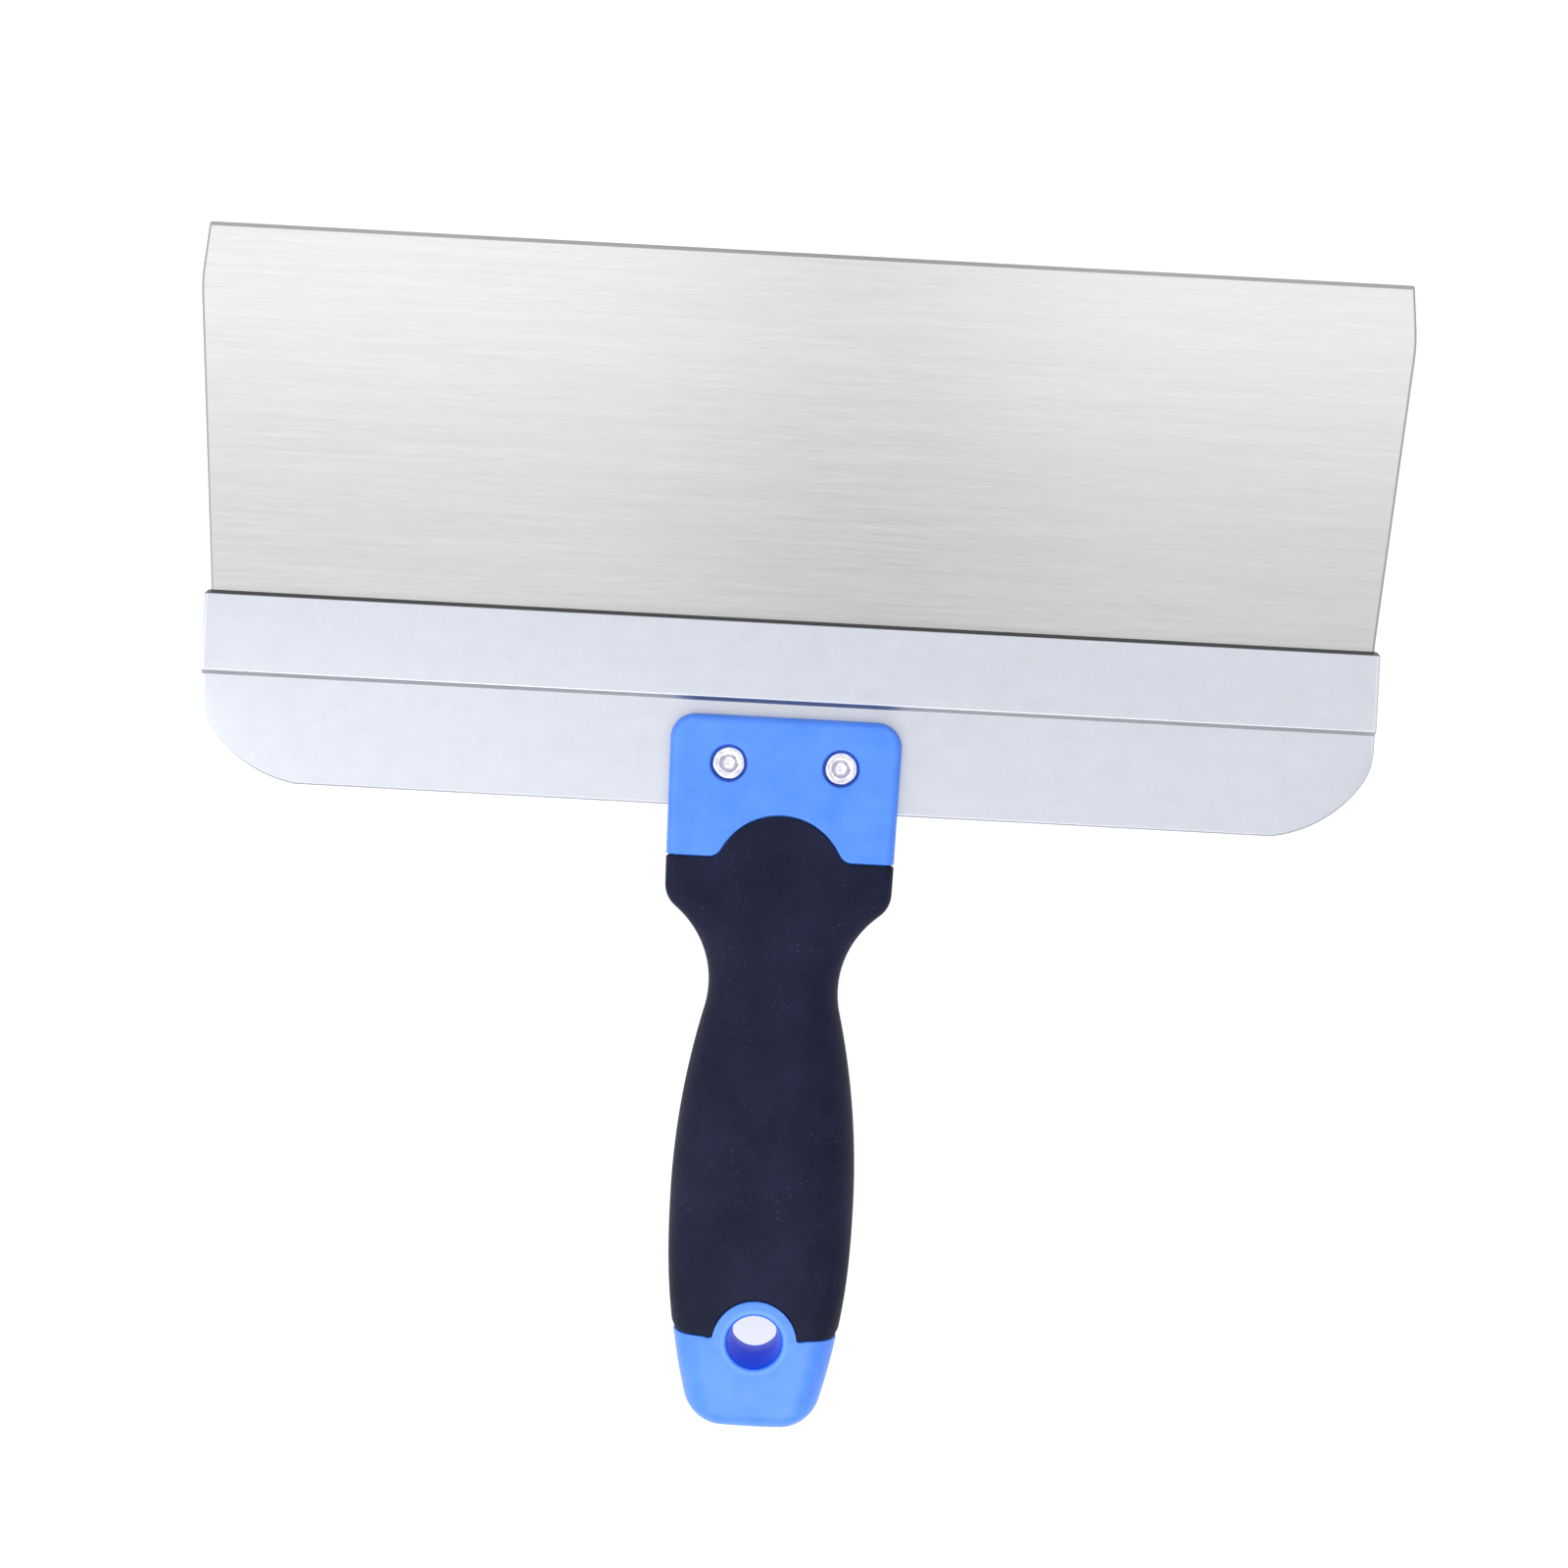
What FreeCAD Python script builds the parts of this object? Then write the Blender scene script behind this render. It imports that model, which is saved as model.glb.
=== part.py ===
import FreeCAD, Part
import math
import os
import Sketcher

# Wide taping knife: a thin spring-steel blade held in a metal backing rail, and a handle riveted
# to the rail. The handle is a hard core with a forked head, wrapped in a soft grip.
#
# The knife lies flat. X runs along the working edge, +Y points from the handle to that edge and
# +Z is up. While it is drawn, y = 0 is the rail's front lip and z = 0 the middle of the blade.
# Each finished piece is then moved by the same step, so that the origin is the middle of the whole
# knife's footprint at the height of its lowest point.

doc = FreeCAD.newDocument("taping_knife")

# Driving sizes in millimetres: name, value, meaning.
DRIVING_SIZES = [
    ("bladeEdgeWidth", 250.0, "length of the working edge"),
    ("bladeFlare", 1.1, "widest place of the blade, past the working edge at each side"),
    ("bladeFlareSetback", 12.2, "that place, behind the working edge"),
    ("bladeLipInset", 0.7, "side of the blade in the rail, inside the rail's end"),
    ("bladeExposed", 76.2, "blade length in front of the rail"),
    ("bladeTail", 12.5, "blade length hidden in the rail"),
    ("bladeThickness", 0.45, "thickness of the spring steel"),
    ("bladeBevelLength", 0.8, "bevel along the working edge, along the blade"),
    ("bladeBevelDepth", 0.12, "the same bevel, through the thickness"),
    ("railEndInset", 3.7, "end of the rail, inside the end of the working edge"),
    ("railBandDepth", 16.65, "thick front band of the rail, front to back"),
    ("railBandThickness", 5.0, "thickness of the front band"),
    ("railStepDepth", 0.85, "slanted step between band and flange"),
    ("railFlangeDepth", 21.8, "thin flange behind the step, front to back"),
    ("railFlangeThickness", 3.0, "thickness of the flange"),
    ("railNoseSetback", 0.9, "slope of the rail's nose, front to back"),
    ("railLipRadius", 0.4, "rounding of the rail's front lips"),
    ("railCornerAlong", 20.25, "rear corner, measured along the rear edge"),
    ("railCornerBack", 18.3, "rear corner, measured along the end"),
    ("railCornerBlend", 12.1, "smaller radius with which that corner leaves the end"),
    ("railCornerKink", 8.8, "degrees by which its large arc meets the rear edge off tangent"),
    ("slotClearance", 0.01, "gap on each face of the blade in the slot"),
    ("slotEndGap", 0.5, "gap behind the blade's tail"),
    ("handleLength", 145.8, "whole handle, front of the head to the butt"),
    ("headSetback", 3.65, "front of the head, behind the rail's step line"),
    ("headWidth", 47.7, "width of the head at its front"),
    ("headTaper", 0.6, "how much each side of the head has come in where the shoulder starts"),
    ("headThickness", 12.4, "thickness of the head's flat faces"),
    ("headFlat", 14.0, "length of those flat faces"),
    ("headCornerRadius", 5.3, "plan radius of the head's front corners"),
    ("headEdgeRadius", 2.0, "rounding of the head's edges"),
    ("shoulderRadius", 6.0, "convex plan radius where the head ends"),
    ("neckRadius", 20.0, "concave plan radius of the neck"),
    ("neckWidth", 26.8, "narrowest place of the handle"),
    ("neckPlace", 55.45, "that place, behind the head's front"),
    ("bellyWidth", 37.86, "widest place of the grip"),
    ("bellyFromEnd", 46.2, "that place, ahead of the butt's end"),
    ("bellyRearRadius", 172.0, "plan radius of the sides behind that place"),
    ("bellyThickness", 23.0, "thickest place of the grip"),
    ("backFromEnd", 50.8, "that place, ahead of the butt's end"),
    ("backRadius", 250.0, "side-view radius of the grip's back"),
    ("buttCornerRadius", 5.5, "plan radius of the butt's corners"),
    ("buttEndRadius", 3.5, "side-view rounding of the butt's end"),
    ("buttEdgeRadius", 6.5, "rounding of the butt's long edges"),
    ("gripFlatShare", 0.2, "flat share of the grip's half-width"),
    ("gripRoundShare", 0.9, "rounded share of the grip's half-thickness"),
    ("gripWall", 2.5, "thickness of the soft grip"),
    ("frontSeam", 29.2, "front seam of the grip, behind the head's front"),
    ("rearSeamFromEnd", 19.9, "rear seam of the grip, ahead of the butt's end"),
    ("tongueHeight", 9.0, "grip's tongue, ahead of the front seam"),
    ("tongueRadius", 13.8, "radius of the tongue"),
    ("tongueBlend", 3.0, "radius where the tongue meets the seam"),
    ("tongueDepth", 1.5, "depth of the tongue in the head's face"),
    ("holeFromEnd", 18.9, "hanging hole, ahead of the butt's end"),
    ("holeRadius", 4.55, "radius of the hanging hole at its waist"),
    ("holeLand", 3.0, "straight length of the hole at its waist"),
    ("holeFlare", 0.85, "how much the hole's cones open from the land to holeFlareHeight"),
    ("holeFlareHeight", 8.0, "height above the land at which they have opened that much"),
    ("tabWall", 4.2, "wall of the core's tab around the hanging hole"),
    ("rivetPlace", 9.9, "rivets, behind the head's front"),
    ("rivetSpacing", 23.0, "distance between the rivets"),
    ("rivetShankRadius", 2.0, "radius of the rivet's shank"),
    ("rivetClinchOverhang", 1.4, "rolled clinch, out past the shank"),
    ("rivetClinchHeight", 1.15, "height of the clinch"),
    ("rivetMouthInset", 0.05, "edge of the clinch's mouth, inside the shank"),
    ("rivetWall", 0.6, "wall of the shank round its bore"),
    ("rivetBoreDepth", 2.2, "depth of the bore below the clinch"),
    ("rivetHeadOverhang", 1.5, "factory head, out past the shank"),
    ("rivetHeadEdge", 0.35, "height of the factory head at its edge"),
    ("rivetHeadHeight", 1.3, "height of the factory head at its middle"),
    ("counterboreGap", 0.3, "gap round the factory head in its counterbore"),
    ("counterboreDepth", 2.0, "depth of the counterbores"),
]

sheet = doc.addObject("Spreadsheet::Sheet", "Sizes")
for row, (alias, value, meaning) in enumerate(DRIVING_SIZES, start=1):
    sheet.set(f"A{row}", meaning)
    sheet.set(f"B{row}", str(value))
    sheet.setAlias(f"B{row}", alias)
doc.recompute()
size = {alias: float(sheet.get(alias)) for alias, value, meaning in DRIVING_SIZES}

# Expressions that several pieces share.
RAIL_WIDTH = "(Sizes.bladeEdgeWidth - 2 * Sizes.railEndInset)"
HEAD_FRONT = "-(Sizes.railBandDepth + Sizes.headSetback)"
HOLE_Y = f"({HEAD_FRONT} - Sizes.handleLength + Sizes.holeFromEnd)"
REAR_SEAM_Y = f"({HEAD_FRONT} - Sizes.handleLength + Sizes.rearSeamFromEnd)"
RIVET_Y = f"({HEAD_FRONT} - Sizes.rivetPlace)"
RIVET_HEAD_RADIUS = "(Sizes.rivetShankRadius + Sizes.rivetHeadOverhang)"
RAIL_DEPTH = "(Sizes.railBandDepth + Sizes.railStepDepth + Sizes.railFlangeDepth)"
FLOOR_OF_COUNTERBORE = "(Sizes.headThickness / 2 - Sizes.counterboreDepth)"
SHIFT_Y = "(Sizes.railBandDepth + Sizes.headSetback + Sizes.handleLength - Sizes.bladeExposed) / 2"
SHIFT_Z = "Sizes.bellyThickness / 2"

# Tools that cut right through run this far past the faces they cut.
PAST = 5.0
# Half-height of a tool that spans the whole thickness of the handle.
TALL = 30.0
# Share of the sections' corner radii that the rounded ends of the handle take away.
END_SHARPNESS = 0.8
# The spine's corners never get sharper than this.
SMALLEST_CORNER = 1.0
# The spine runs on this far into the head and the butt, past the seams.
SPINE_OVERLAP = 4.0
# How many lofted sections there are along each stretch of the handle. The shoulder's sections
# start this far behind the front seam.
SHOULDER_START = 4.0
HEAD_SECTIONS = 5
SHOULDER_SECTIONS = 14
BELLY_SECTIONS = 7
BUTT_SECTIONS = 5
NOSE_SECTIONS = 4
END_SECTIONS = 5


def shift_into_frame(piece, name):
    # Label a finished piece and move it into the knife's own frame.
    piece.Label = name
    piece.setExpression("Placement.Base.y", SHIFT_Y)
    piece.setExpression("Placement.Base.z", SHIFT_Z)
    return piece


def new_body(name):
    return doc.addObject("PartDesign::Body", name)


def new_sketch(body, plane_role, name):
    sketch = body.newObject("Sketcher::SketchObject", name)
    plane = [item for item in body.Origin.OriginFeatures if item.Role == plane_role][0]
    sketch.AttachmentSupport = (plane, [""])
    sketch.MapMode = "FlatFace"
    return sketch


def arc_between(start, end, radius):
    # Arc from start to end. A positive radius turns left on the way, a negative one right.
    chord = end - start
    middle = (start + end) / 2
    left = FreeCAD.Vector(-chord.y, chord.x, 0).normalize()
    offset = math.sqrt(max(radius * radius - chord.Length ** 2 / 4, 0.0))
    centre = middle + left * math.copysign(offset, radius)
    first, last = (start, end) if radius > 0 else (end, start)
    first_angle = math.atan2(first.y - centre.y, first.x - centre.x)
    last_angle = math.atan2(last.y - centre.y, last.x - centre.x)
    circle = Part.Circle(centre, FreeCAD.Vector(0, 0, 1), abs(radius))
    return Part.ArcOfCircle(circle, first_angle, last_angle)


def draw_outline(sketch, corners):
    # Closed outline through corners. Each corner is x, y and the radius of the arc that leaves it,
    # all as expressions. The radius is empty for a straight edge and negative for a right turn.
    points = []
    for x_text, y_text, radius_text in corners:
        x_value = sketch.evalExpression(x_text)
        y_value = sketch.evalExpression(y_text)
        points.append(FreeCAD.Vector(float(x_value), float(y_value), 0))
    ends = []
    for index, (x_text, y_text, radius_text) in enumerate(corners):
        start = points[index]
        end = points[(index + 1) % len(points)]
        if radius_text == "":
            edge = sketch.addGeometry(Part.LineSegment(start, end), False)
            ends.append((edge, 1, 2))
            continue
        radius = float(sketch.evalExpression(radius_text))
        edge = sketch.addGeometry(arc_between(start, end, radius), False)
        ends.append((edge, 1, 2) if radius > 0 else (edge, 2, 1))
        row = sketch.addConstraint(Sketcher.Constraint("Radius", edge, abs(radius)))
        sketch.setExpression(f"Constraints[{row}]", f"abs({radius_text})")
    for index, (edge, first_end, last_end) in enumerate(ends):
        next_edge, next_first, next_last = ends[(index + 1) % len(ends)]
        joint = Sketcher.Constraint("Coincident", edge, last_end, next_edge, next_first)
        sketch.addConstraint(joint)
    for index, (x_text, y_text, radius_text) in enumerate(corners):
        edge, first_end, last_end = ends[index]
        for kind, text, value in (("DistanceX", x_text, points[index].x),
                                  ("DistanceY", y_text, points[index].y)):
            place = Sketcher.Constraint(kind, -1, 1, edge, first_end, value)
            row = sketch.addConstraint(place)
            sketch.setExpression(f"Constraints[{row}]", text)


def draw_circle(sketch, x_text, y_text, radius_text):
    centre = FreeCAD.Vector(float(sketch.evalExpression(x_text)),
                            float(sketch.evalExpression(y_text)), 0)
    radius = float(sketch.evalExpression(radius_text))
    edge = sketch.addGeometry(Part.Circle(centre, FreeCAD.Vector(0, 0, 1), radius), False)
    for constraint, text in (
        (Sketcher.Constraint("Radius", edge, radius), radius_text),
        (Sketcher.Constraint("DistanceX", -1, 1, edge, 3, centre.x), x_text),
        (Sketcher.Constraint("DistanceY", -1, 1, edge, 3, centre.y), y_text),
    ):
        row = sketch.addConstraint(constraint)
        sketch.setExpression(f"Constraints[{row}]", text)


def edges_where(shape, test):
    # Names of the edges whose middle point passes the test.
    names = []
    for number, edge in enumerate(shape.Edges, start=1):
        middle = edge.valueAt((edge.FirstParameter + edge.LastParameter) / 2)
        if test(edge, middle):
            names.append(f"Edge{number}")
    return names


def along_x(edge):
    return abs(edge.tangentAt(edge.FirstParameter).x) > 0.999


def near(first, second):
    return abs(first - second) < 0.01


# ---------------------------------------------------------------- blade

def make_blade():
    body = new_body("blade")
    outline = new_sketch(body, "XY_Plane", "blade_outline")
    widest_y = "Sizes.bladeExposed - Sizes.bladeFlareSetback"
    widest_x = "(Sizes.bladeEdgeWidth / 2 + Sizes.bladeFlare)"
    lip_x = f"({RAIL_WIDTH} / 2 - Sizes.bladeLipInset)"
    draw_outline(outline, [
        ("Sizes.bladeEdgeWidth / 2", "Sizes.bladeExposed", ""),
        ("-Sizes.bladeEdgeWidth / 2", "Sizes.bladeExposed", ""),
        ("-" + widest_x, widest_y, ""),
        ("-" + lip_x, "0", ""),
        ("-" + lip_x, "-Sizes.bladeTail", ""),
        (lip_x, "-Sizes.bladeTail", ""),
        (lip_x, "0", ""),
        (widest_x, widest_y, ""),
    ])
    sheet_pad = body.newObject("PartDesign::Pad", "blade_sheet")
    sheet_pad.Profile = outline
    sheet_pad.SideType = "Symmetric"
    sheet_pad.setExpression("Length", "Sizes.bladeThickness")
    # A long shallow bevel on each face leaves a thinner working edge.
    bevels = new_sketch(body, "YZ_Plane", "blade_bevel_profile")
    face = "Sizes.bladeThickness / 2"
    start = "(Sizes.bladeExposed - Sizes.bladeBevelLength)"
    beyond = f"(Sizes.bladeExposed + {PAST})"
    for side in ("", "-"):
        draw_outline(bevels, [
            (start, side + face, ""),
            ("Sizes.bladeExposed", f"{side}({face} - Sizes.bladeBevelDepth)", ""),
            (beyond, f"{side}({face} - Sizes.bladeBevelDepth)", ""),
            (beyond, f"{side}({face} + {PAST})", ""),
            (start, f"{side}({face} + {PAST})", ""),
        ])
    bevel = body.newObject("PartDesign::Pocket", "blade_bevel")
    bevel.Profile = bevels
    bevel.Type = "ThroughAll"
    bevel.Midplane = True
    return shift_into_frame(body, "blade")


# ---------------------------------------------------------------- backing rail

def make_rail():
    body = new_body("backing_rail")
    profile = new_sketch(body, "YZ_Plane", "rail_profile")
    slot = "(Sizes.bladeThickness / 2 + Sizes.slotClearance)"
    slot_end = "-(Sizes.bladeTail + Sizes.slotEndGap)"
    band = "Sizes.railBandThickness / 2"
    flange = "Sizes.railFlangeThickness / 2"
    step_end = "-(Sizes.railBandDepth + Sizes.railStepDepth)"
    draw_outline(profile, [
        (slot_end, slot, ""),
        ("0", slot, ""),
        ("-Sizes.railNoseSetback", band, ""),
        ("-Sizes.railBandDepth", band, ""),
        (step_end, flange, ""),
        ("-" + RAIL_DEPTH, flange, ""),
        ("-" + RAIL_DEPTH, "-" + flange, ""),
        (step_end, "-" + flange, ""),
        ("-Sizes.railBandDepth", "-" + band, ""),
        ("-Sizes.railNoseSetback", "-" + band, ""),
        ("0", "-" + slot, ""),
        (slot_end, "-" + slot, ""),
    ])
    length = body.newObject("PartDesign::Pad", "rail_length")
    length.Profile = profile
    length.SideType = "Symmetric"
    length.setExpression("Length", RAIL_WIDTH)
    doc.recompute()

    def at_lip(edge, middle):
        on_top = near(abs(middle.z), size["railBandThickness"] / 2)
        return on_top and near(middle.y, -size["railNoseSetback"]) and along_x(edge)

    lips = body.newObject("PartDesign::Fillet", "rail_lips")
    lips.Base = (length, edges_where(length.Shape, at_lip))
    lips.setExpression("Radius", "Sizes.railLipRadius")
    doc.recompute()

    # Each rear corner is cut away outside a blend arc and a large arc. They are tangent to the end
    # and to each other, and the large arc meets the rear edge at a slight angle.
    corners = new_sketch(body, "XY_Plane", "rail_corner_outline")
    end_x = f"({RAIL_WIDTH} / 2)"
    outside_x = f"({end_x} + {PAST})"
    outside_y = f"-({RAIL_DEPTH} + {PAST})"
    arc_x = f"({end_x} - Sizes.railCornerAlong)"
    blend_y = f"(Sizes.railCornerBack - {RAIL_DEPTH})"
    along = "(Sizes.railCornerAlong - Sizes.railCornerBlend)"
    sine = "sin(Sizes.railCornerKink)"
    cosine = "cos(Sizes.railCornerKink)"
    radius = (f"(({along}^2 + Sizes.railCornerBack^2 - Sizes.railCornerBlend^2)"
              f" / (2 * (Sizes.railCornerBack * {cosine} - {along} * {sine}"
              " - Sizes.railCornerBlend)))")
    share = f"({radius} / ({radius} - Sizes.railCornerBlend))"
    centre_x = f"({arc_x} - {radius} * {sine})"
    centre_y = f"({radius} * {cosine} - {RAIL_DEPTH})"
    meet_x = f"({centre_x} + ({end_x} - Sizes.railCornerBlend - {centre_x}) * {share})"
    meet_y = f"({centre_y} + ({blend_y} - {centre_y}) * {share})"
    for side, turn in (("", "-"), ("-", "")):
        draw_outline(corners, [
            (side + end_x, blend_y, turn + "Sizes.railCornerBlend"),
            (side + meet_x, meet_y, turn + radius),
            (side + arc_x, "-" + RAIL_DEPTH, ""),
            (side + arc_x, outside_y, ""),
            (side + outside_x, outside_y, ""),
            (side + outside_x, blend_y, ""),
        ])
    rounding = body.newObject("PartDesign::Pocket", "rail_corners")
    rounding.Profile = corners
    rounding.Type = "ThroughAll"
    rounding.Midplane = True
    doc.recompute()

    holes = new_sketch(body, "XY_Plane", "rail_rivet_holes")
    for side in ("", "-"):
        draw_circle(holes, side + "Sizes.rivetSpacing / 2", RIVET_Y, "Sizes.rivetShankRadius")
    drilling = body.newObject("PartDesign::Pocket", "rail_drilling")
    drilling.Profile = holes
    drilling.Type = "ThroughAll"
    drilling.Midplane = True
    return shift_into_frame(body, "backing_rail")


# ---------------------------------------------------------------- handle form

# Places measured behind the head's front that follow the handle's length.
BELLY_PLACE = size["handleLength"] - size["bellyFromEnd"]
BACK_PLACE = size["handleLength"] - size["backFromEnd"]
REAR_SEAM = size["handleLength"] - size["rearSeamFromEnd"]


def half_width_at(d):
    # Half-width of the handle in plan, d behind the head's front, before its ends are rounded.
    # A straight head side that comes in a little, a convex shoulder, a concave neck and one long
    # belly arc on each side of the widest place.
    head = size["headWidth"] / 2
    neck = size["neckWidth"] / 2
    belly = size["bellyWidth"] / 2
    shoulder_radius = size["shoulderRadius"]
    neck_radius = size["neckRadius"]
    neck_centre = neck + neck_radius
    shoulder_centre = head - size["headTaper"] - shoulder_radius
    reach = neck_radius + shoulder_radius
    rise = neck_centre - shoulder_centre
    shoulder_place = size["neckPlace"] - math.sqrt(reach * reach - rise * rise)
    shoulder_end = shoulder_place + (size["neckPlace"] - shoulder_place) * shoulder_radius / reach
    gap = neck_centre - belly
    run = BELLY_PLACE - size["neckPlace"]
    belly_radius = (run * run + gap * gap - neck_radius ** 2) / (2 * (neck_radius - gap))
    neck_end = size["neckPlace"] + run * neck_radius / (neck_radius + belly_radius)
    if d <= shoulder_place:
        return head - size["headTaper"] * d / shoulder_place
    if d <= shoulder_end:
        return shoulder_centre + math.sqrt(shoulder_radius ** 2 - (d - shoulder_place) ** 2)
    if d <= neck_end:
        return neck_centre - math.sqrt(neck_radius ** 2 - (d - size["neckPlace"]) ** 2)
    if d > BELLY_PLACE:
        belly_radius = size["bellyRearRadius"]
    return belly - belly_radius + math.sqrt(belly_radius ** 2 - (d - BELLY_PLACE) ** 2)


def half_thickness_at(d):
    # Half-thickness of the handle in side view: a flat head, a long concave arc and the back's
    # convex arc, all tangent.
    head = size["headThickness"] / 2
    back = size["bellyThickness"] / 2
    run = BACK_PLACE - size["headFlat"]
    rise = back - head
    both_radii = (run * run + rise * rise) / (2 * rise)
    hollow_radius = both_radii - size["backRadius"]
    hollow_end = size["headFlat"] + run * hollow_radius / both_radii
    if d <= size["headFlat"]:
        return head
    if d <= hollow_end:
        return head + hollow_radius - math.sqrt(hollow_radius ** 2 - (d - size["headFlat"]) ** 2)
    back_radius = size["backRadius"]
    return back - back_radius + math.sqrt(back_radius ** 2 - (d - BACK_PLACE) ** 2)


def smooth_step(value, start, end):
    share = min(max((value - start) / (end - start), 0.0), 1.0)
    return share * share * (3 - 2 * share)


def rounded_off(distance, radius):
    # How far a quarter circle has fallen away at this distance from the end it rounds.
    if distance >= radius:
        return 0.0
    return radius - math.sqrt(radius ** 2 - (radius - distance) ** 2)


def section_at(d, inset, with_ends):
    # Half-width, half-thickness and the two corner radii of the handle's section at d.
    half_width = half_width_at(d) - inset
    half_thickness = half_thickness_at(d) - inset
    to_grip = smooth_step(d, size["frontSeam"], size["neckPlace"])
    to_butt = smooth_step(d, BELLY_PLACE, REAR_SEAM)
    edge = size["headEdgeRadius"] + (size["buttEdgeRadius"] - size["headEdgeRadius"]) * to_butt
    fullness = to_grip * (1 - to_butt)
    corner_x = edge + ((1 - size["gripFlatShare"]) * half_width - edge) * fullness
    corner_z = edge + (size["gripRoundShare"] * half_thickness - edge) * fullness
    if inset > 0:
        corner_x = max(corner_x - inset, SMALLEST_CORNER)
        corner_z = max(corner_z - inset, SMALLEST_CORNER)
    if with_ends:
        from_rear = size["handleLength"] - d
        half_width -= rounded_off(d, size["headCornerRadius"])
        half_width -= rounded_off(from_rear, size["buttCornerRadius"])
        half_thickness -= rounded_off(d, size["headEdgeRadius"])
        half_thickness -= rounded_off(from_rear, size["buttEndRadius"])
        sharpness = rounded_off(d, edge) + rounded_off(from_rear, edge)
        corner_x -= END_SHARPNESS * sharpness
        corner_z -= END_SHARPNESS * sharpness
    return half_width, half_thickness, corner_x, corner_z


def section_wire(d, inset=0.0, with_ends=True):
    # Rounded rectangle across the handle: four straight sides and four quarter ellipses.
    half_width, half_thickness, corner_x, corner_z = section_at(d, inset, with_ends)
    y = -(size["railBandDepth"] + size["headSetback"]) - d
    flat_x = half_width - corner_x
    flat_z = half_thickness - corner_z
    # Centre, start and end of each quarter ellipse, going round from +X through +Z.
    corners = []
    for sign_x, sign_z in ((1, 1), (-1, 1), (-1, -1), (1, -1)):
        centre = FreeCAD.Vector(sign_x * flat_x, y, sign_z * flat_z)
        on_side = FreeCAD.Vector(sign_x * half_width, y, sign_z * flat_z)
        on_face = FreeCAD.Vector(sign_x * flat_x, y, sign_z * half_thickness)
        ends = (on_side, on_face) if sign_x == sign_z else (on_face, on_side)
        corners.append((centre, *ends))
    edges = []
    for index, (centre, start, end) in enumerate(corners):
        edges.append(quarter_ellipse(centre, start, end))
        next_start = corners[(index + 1) % len(corners)][1]
        edges.append(Part.LineSegment(end, next_start).toShape())
    return Part.Wire(edges)


def quarter_ellipse(centre, start, end):
    # Exact quarter ellipse as a rational quadratic curve with its pole at the corner.
    corner = start + end - centre
    curve = Part.BSplineCurve()
    curve.buildFromPolesMultsKnots([start, corner, end], [3, 3], [0.0, 1.0], False, 2,
                                   [1.0, math.sqrt(0.5), 1.0])
    return curve.toShape()


def spread(start, end, count):
    # Evenly spaced places from start up to, but not including, end.
    return [start + (end - start) * step / count for step in range(count)]


def rounding_places(radius, count):
    # Distances from an end, close together where a quarter circle of this radius is steep.
    quarter = math.pi / 2
    return [radius * (1 - math.cos(quarter * step / count)) for step in range(count + 1)]


def body_places():
    # Where the sections lie between the head's flat faces and the rounded butt.
    shoulder = size["frontSeam"] + SHOULDER_START
    butt = size["handleLength"] - size["buttCornerRadius"]
    places = spread(size["headFlat"], shoulder, HEAD_SECTIONS)
    places += spread(shoulder, size["neckPlace"], SHOULDER_SECTIONS)
    places += spread(size["neckPlace"], BELLY_PLACE, BELLY_SECTIONS)
    places += spread(BELLY_PLACE, butt, BUTT_SECTIONS)
    return places + [butt]


def loft(name, wires, ruled=False):
    span = doc.addObject("Part::Feature", name)
    span.Shape = Part.makeLoft(wires, True, ruled)
    return span


def make_form():
    # The handle's whole outer form in four spans that meet on plane sections.
    edge = size["headEdgeRadius"]
    corner = size["headCornerRadius"]
    front = rounding_places(edge, NOSE_SECTIONS)
    front += spread(edge, corner, NOSE_SECTIONS - 1)[1:] + [corner]
    butt = [size["handleLength"] - back
            for back in reversed(rounding_places(size["buttCornerRadius"], END_SECTIONS))]
    return combine("Part::MultiFuse", "handle_form", [
        loft("head_front_form", [section_wire(place) for place in front]),
        loft("head_flat_form", [section_wire(place) for place in (corner, size["headFlat"])], True),
        loft("handle_body_form", [section_wire(place) for place in body_places()]),
        loft("butt_form", [section_wire(place) for place in butt]),
    ])


def make_spine():
    # The core inside the grip: the same form, one grip wall smaller.
    start = size["frontSeam"] - SPINE_OVERLAP
    end = REAR_SEAM + SPINE_OVERLAP
    inner = [place for place in body_places() if start < place < end]
    wires = [section_wire(place, size["gripWall"], False) for place in [start] + inner + [end]]
    return loft("spine_form", wires)


# ---------------------------------------------------------------- grip zone

def make_box(name, x_text, y_text, z_text, length_text, width_text, height_text):
    box = doc.addObject("Part::Box", name)
    for prop, text in (("Placement.Base.x", x_text), ("Placement.Base.y", y_text),
                       ("Placement.Base.z", z_text), ("Length", length_text),
                       ("Width", width_text), ("Height", height_text)):
        box.setExpression(prop, text)
    return box


def make_cylinder(name, x_text, y_text, z_text, radius_text, height_text):
    cylinder = doc.addObject("Part::Cylinder", name)
    for prop, text in (("Placement.Base.x", x_text), ("Placement.Base.y", y_text),
                       ("Placement.Base.z", z_text), ("Radius", radius_text),
                       ("Height", height_text)):
        cylinder.setExpression(prop, text)
    return cylinder


def combine(kind, name, pieces):
    # Fuse or intersect several pieces.
    result = doc.addObject(kind, name)
    result.Shapes = pieces
    return result


def cut(name, base, tool):
    result = doc.addObject("Part::Cut", name)
    result.Base = base
    result.Tool = tool
    return result


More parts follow.
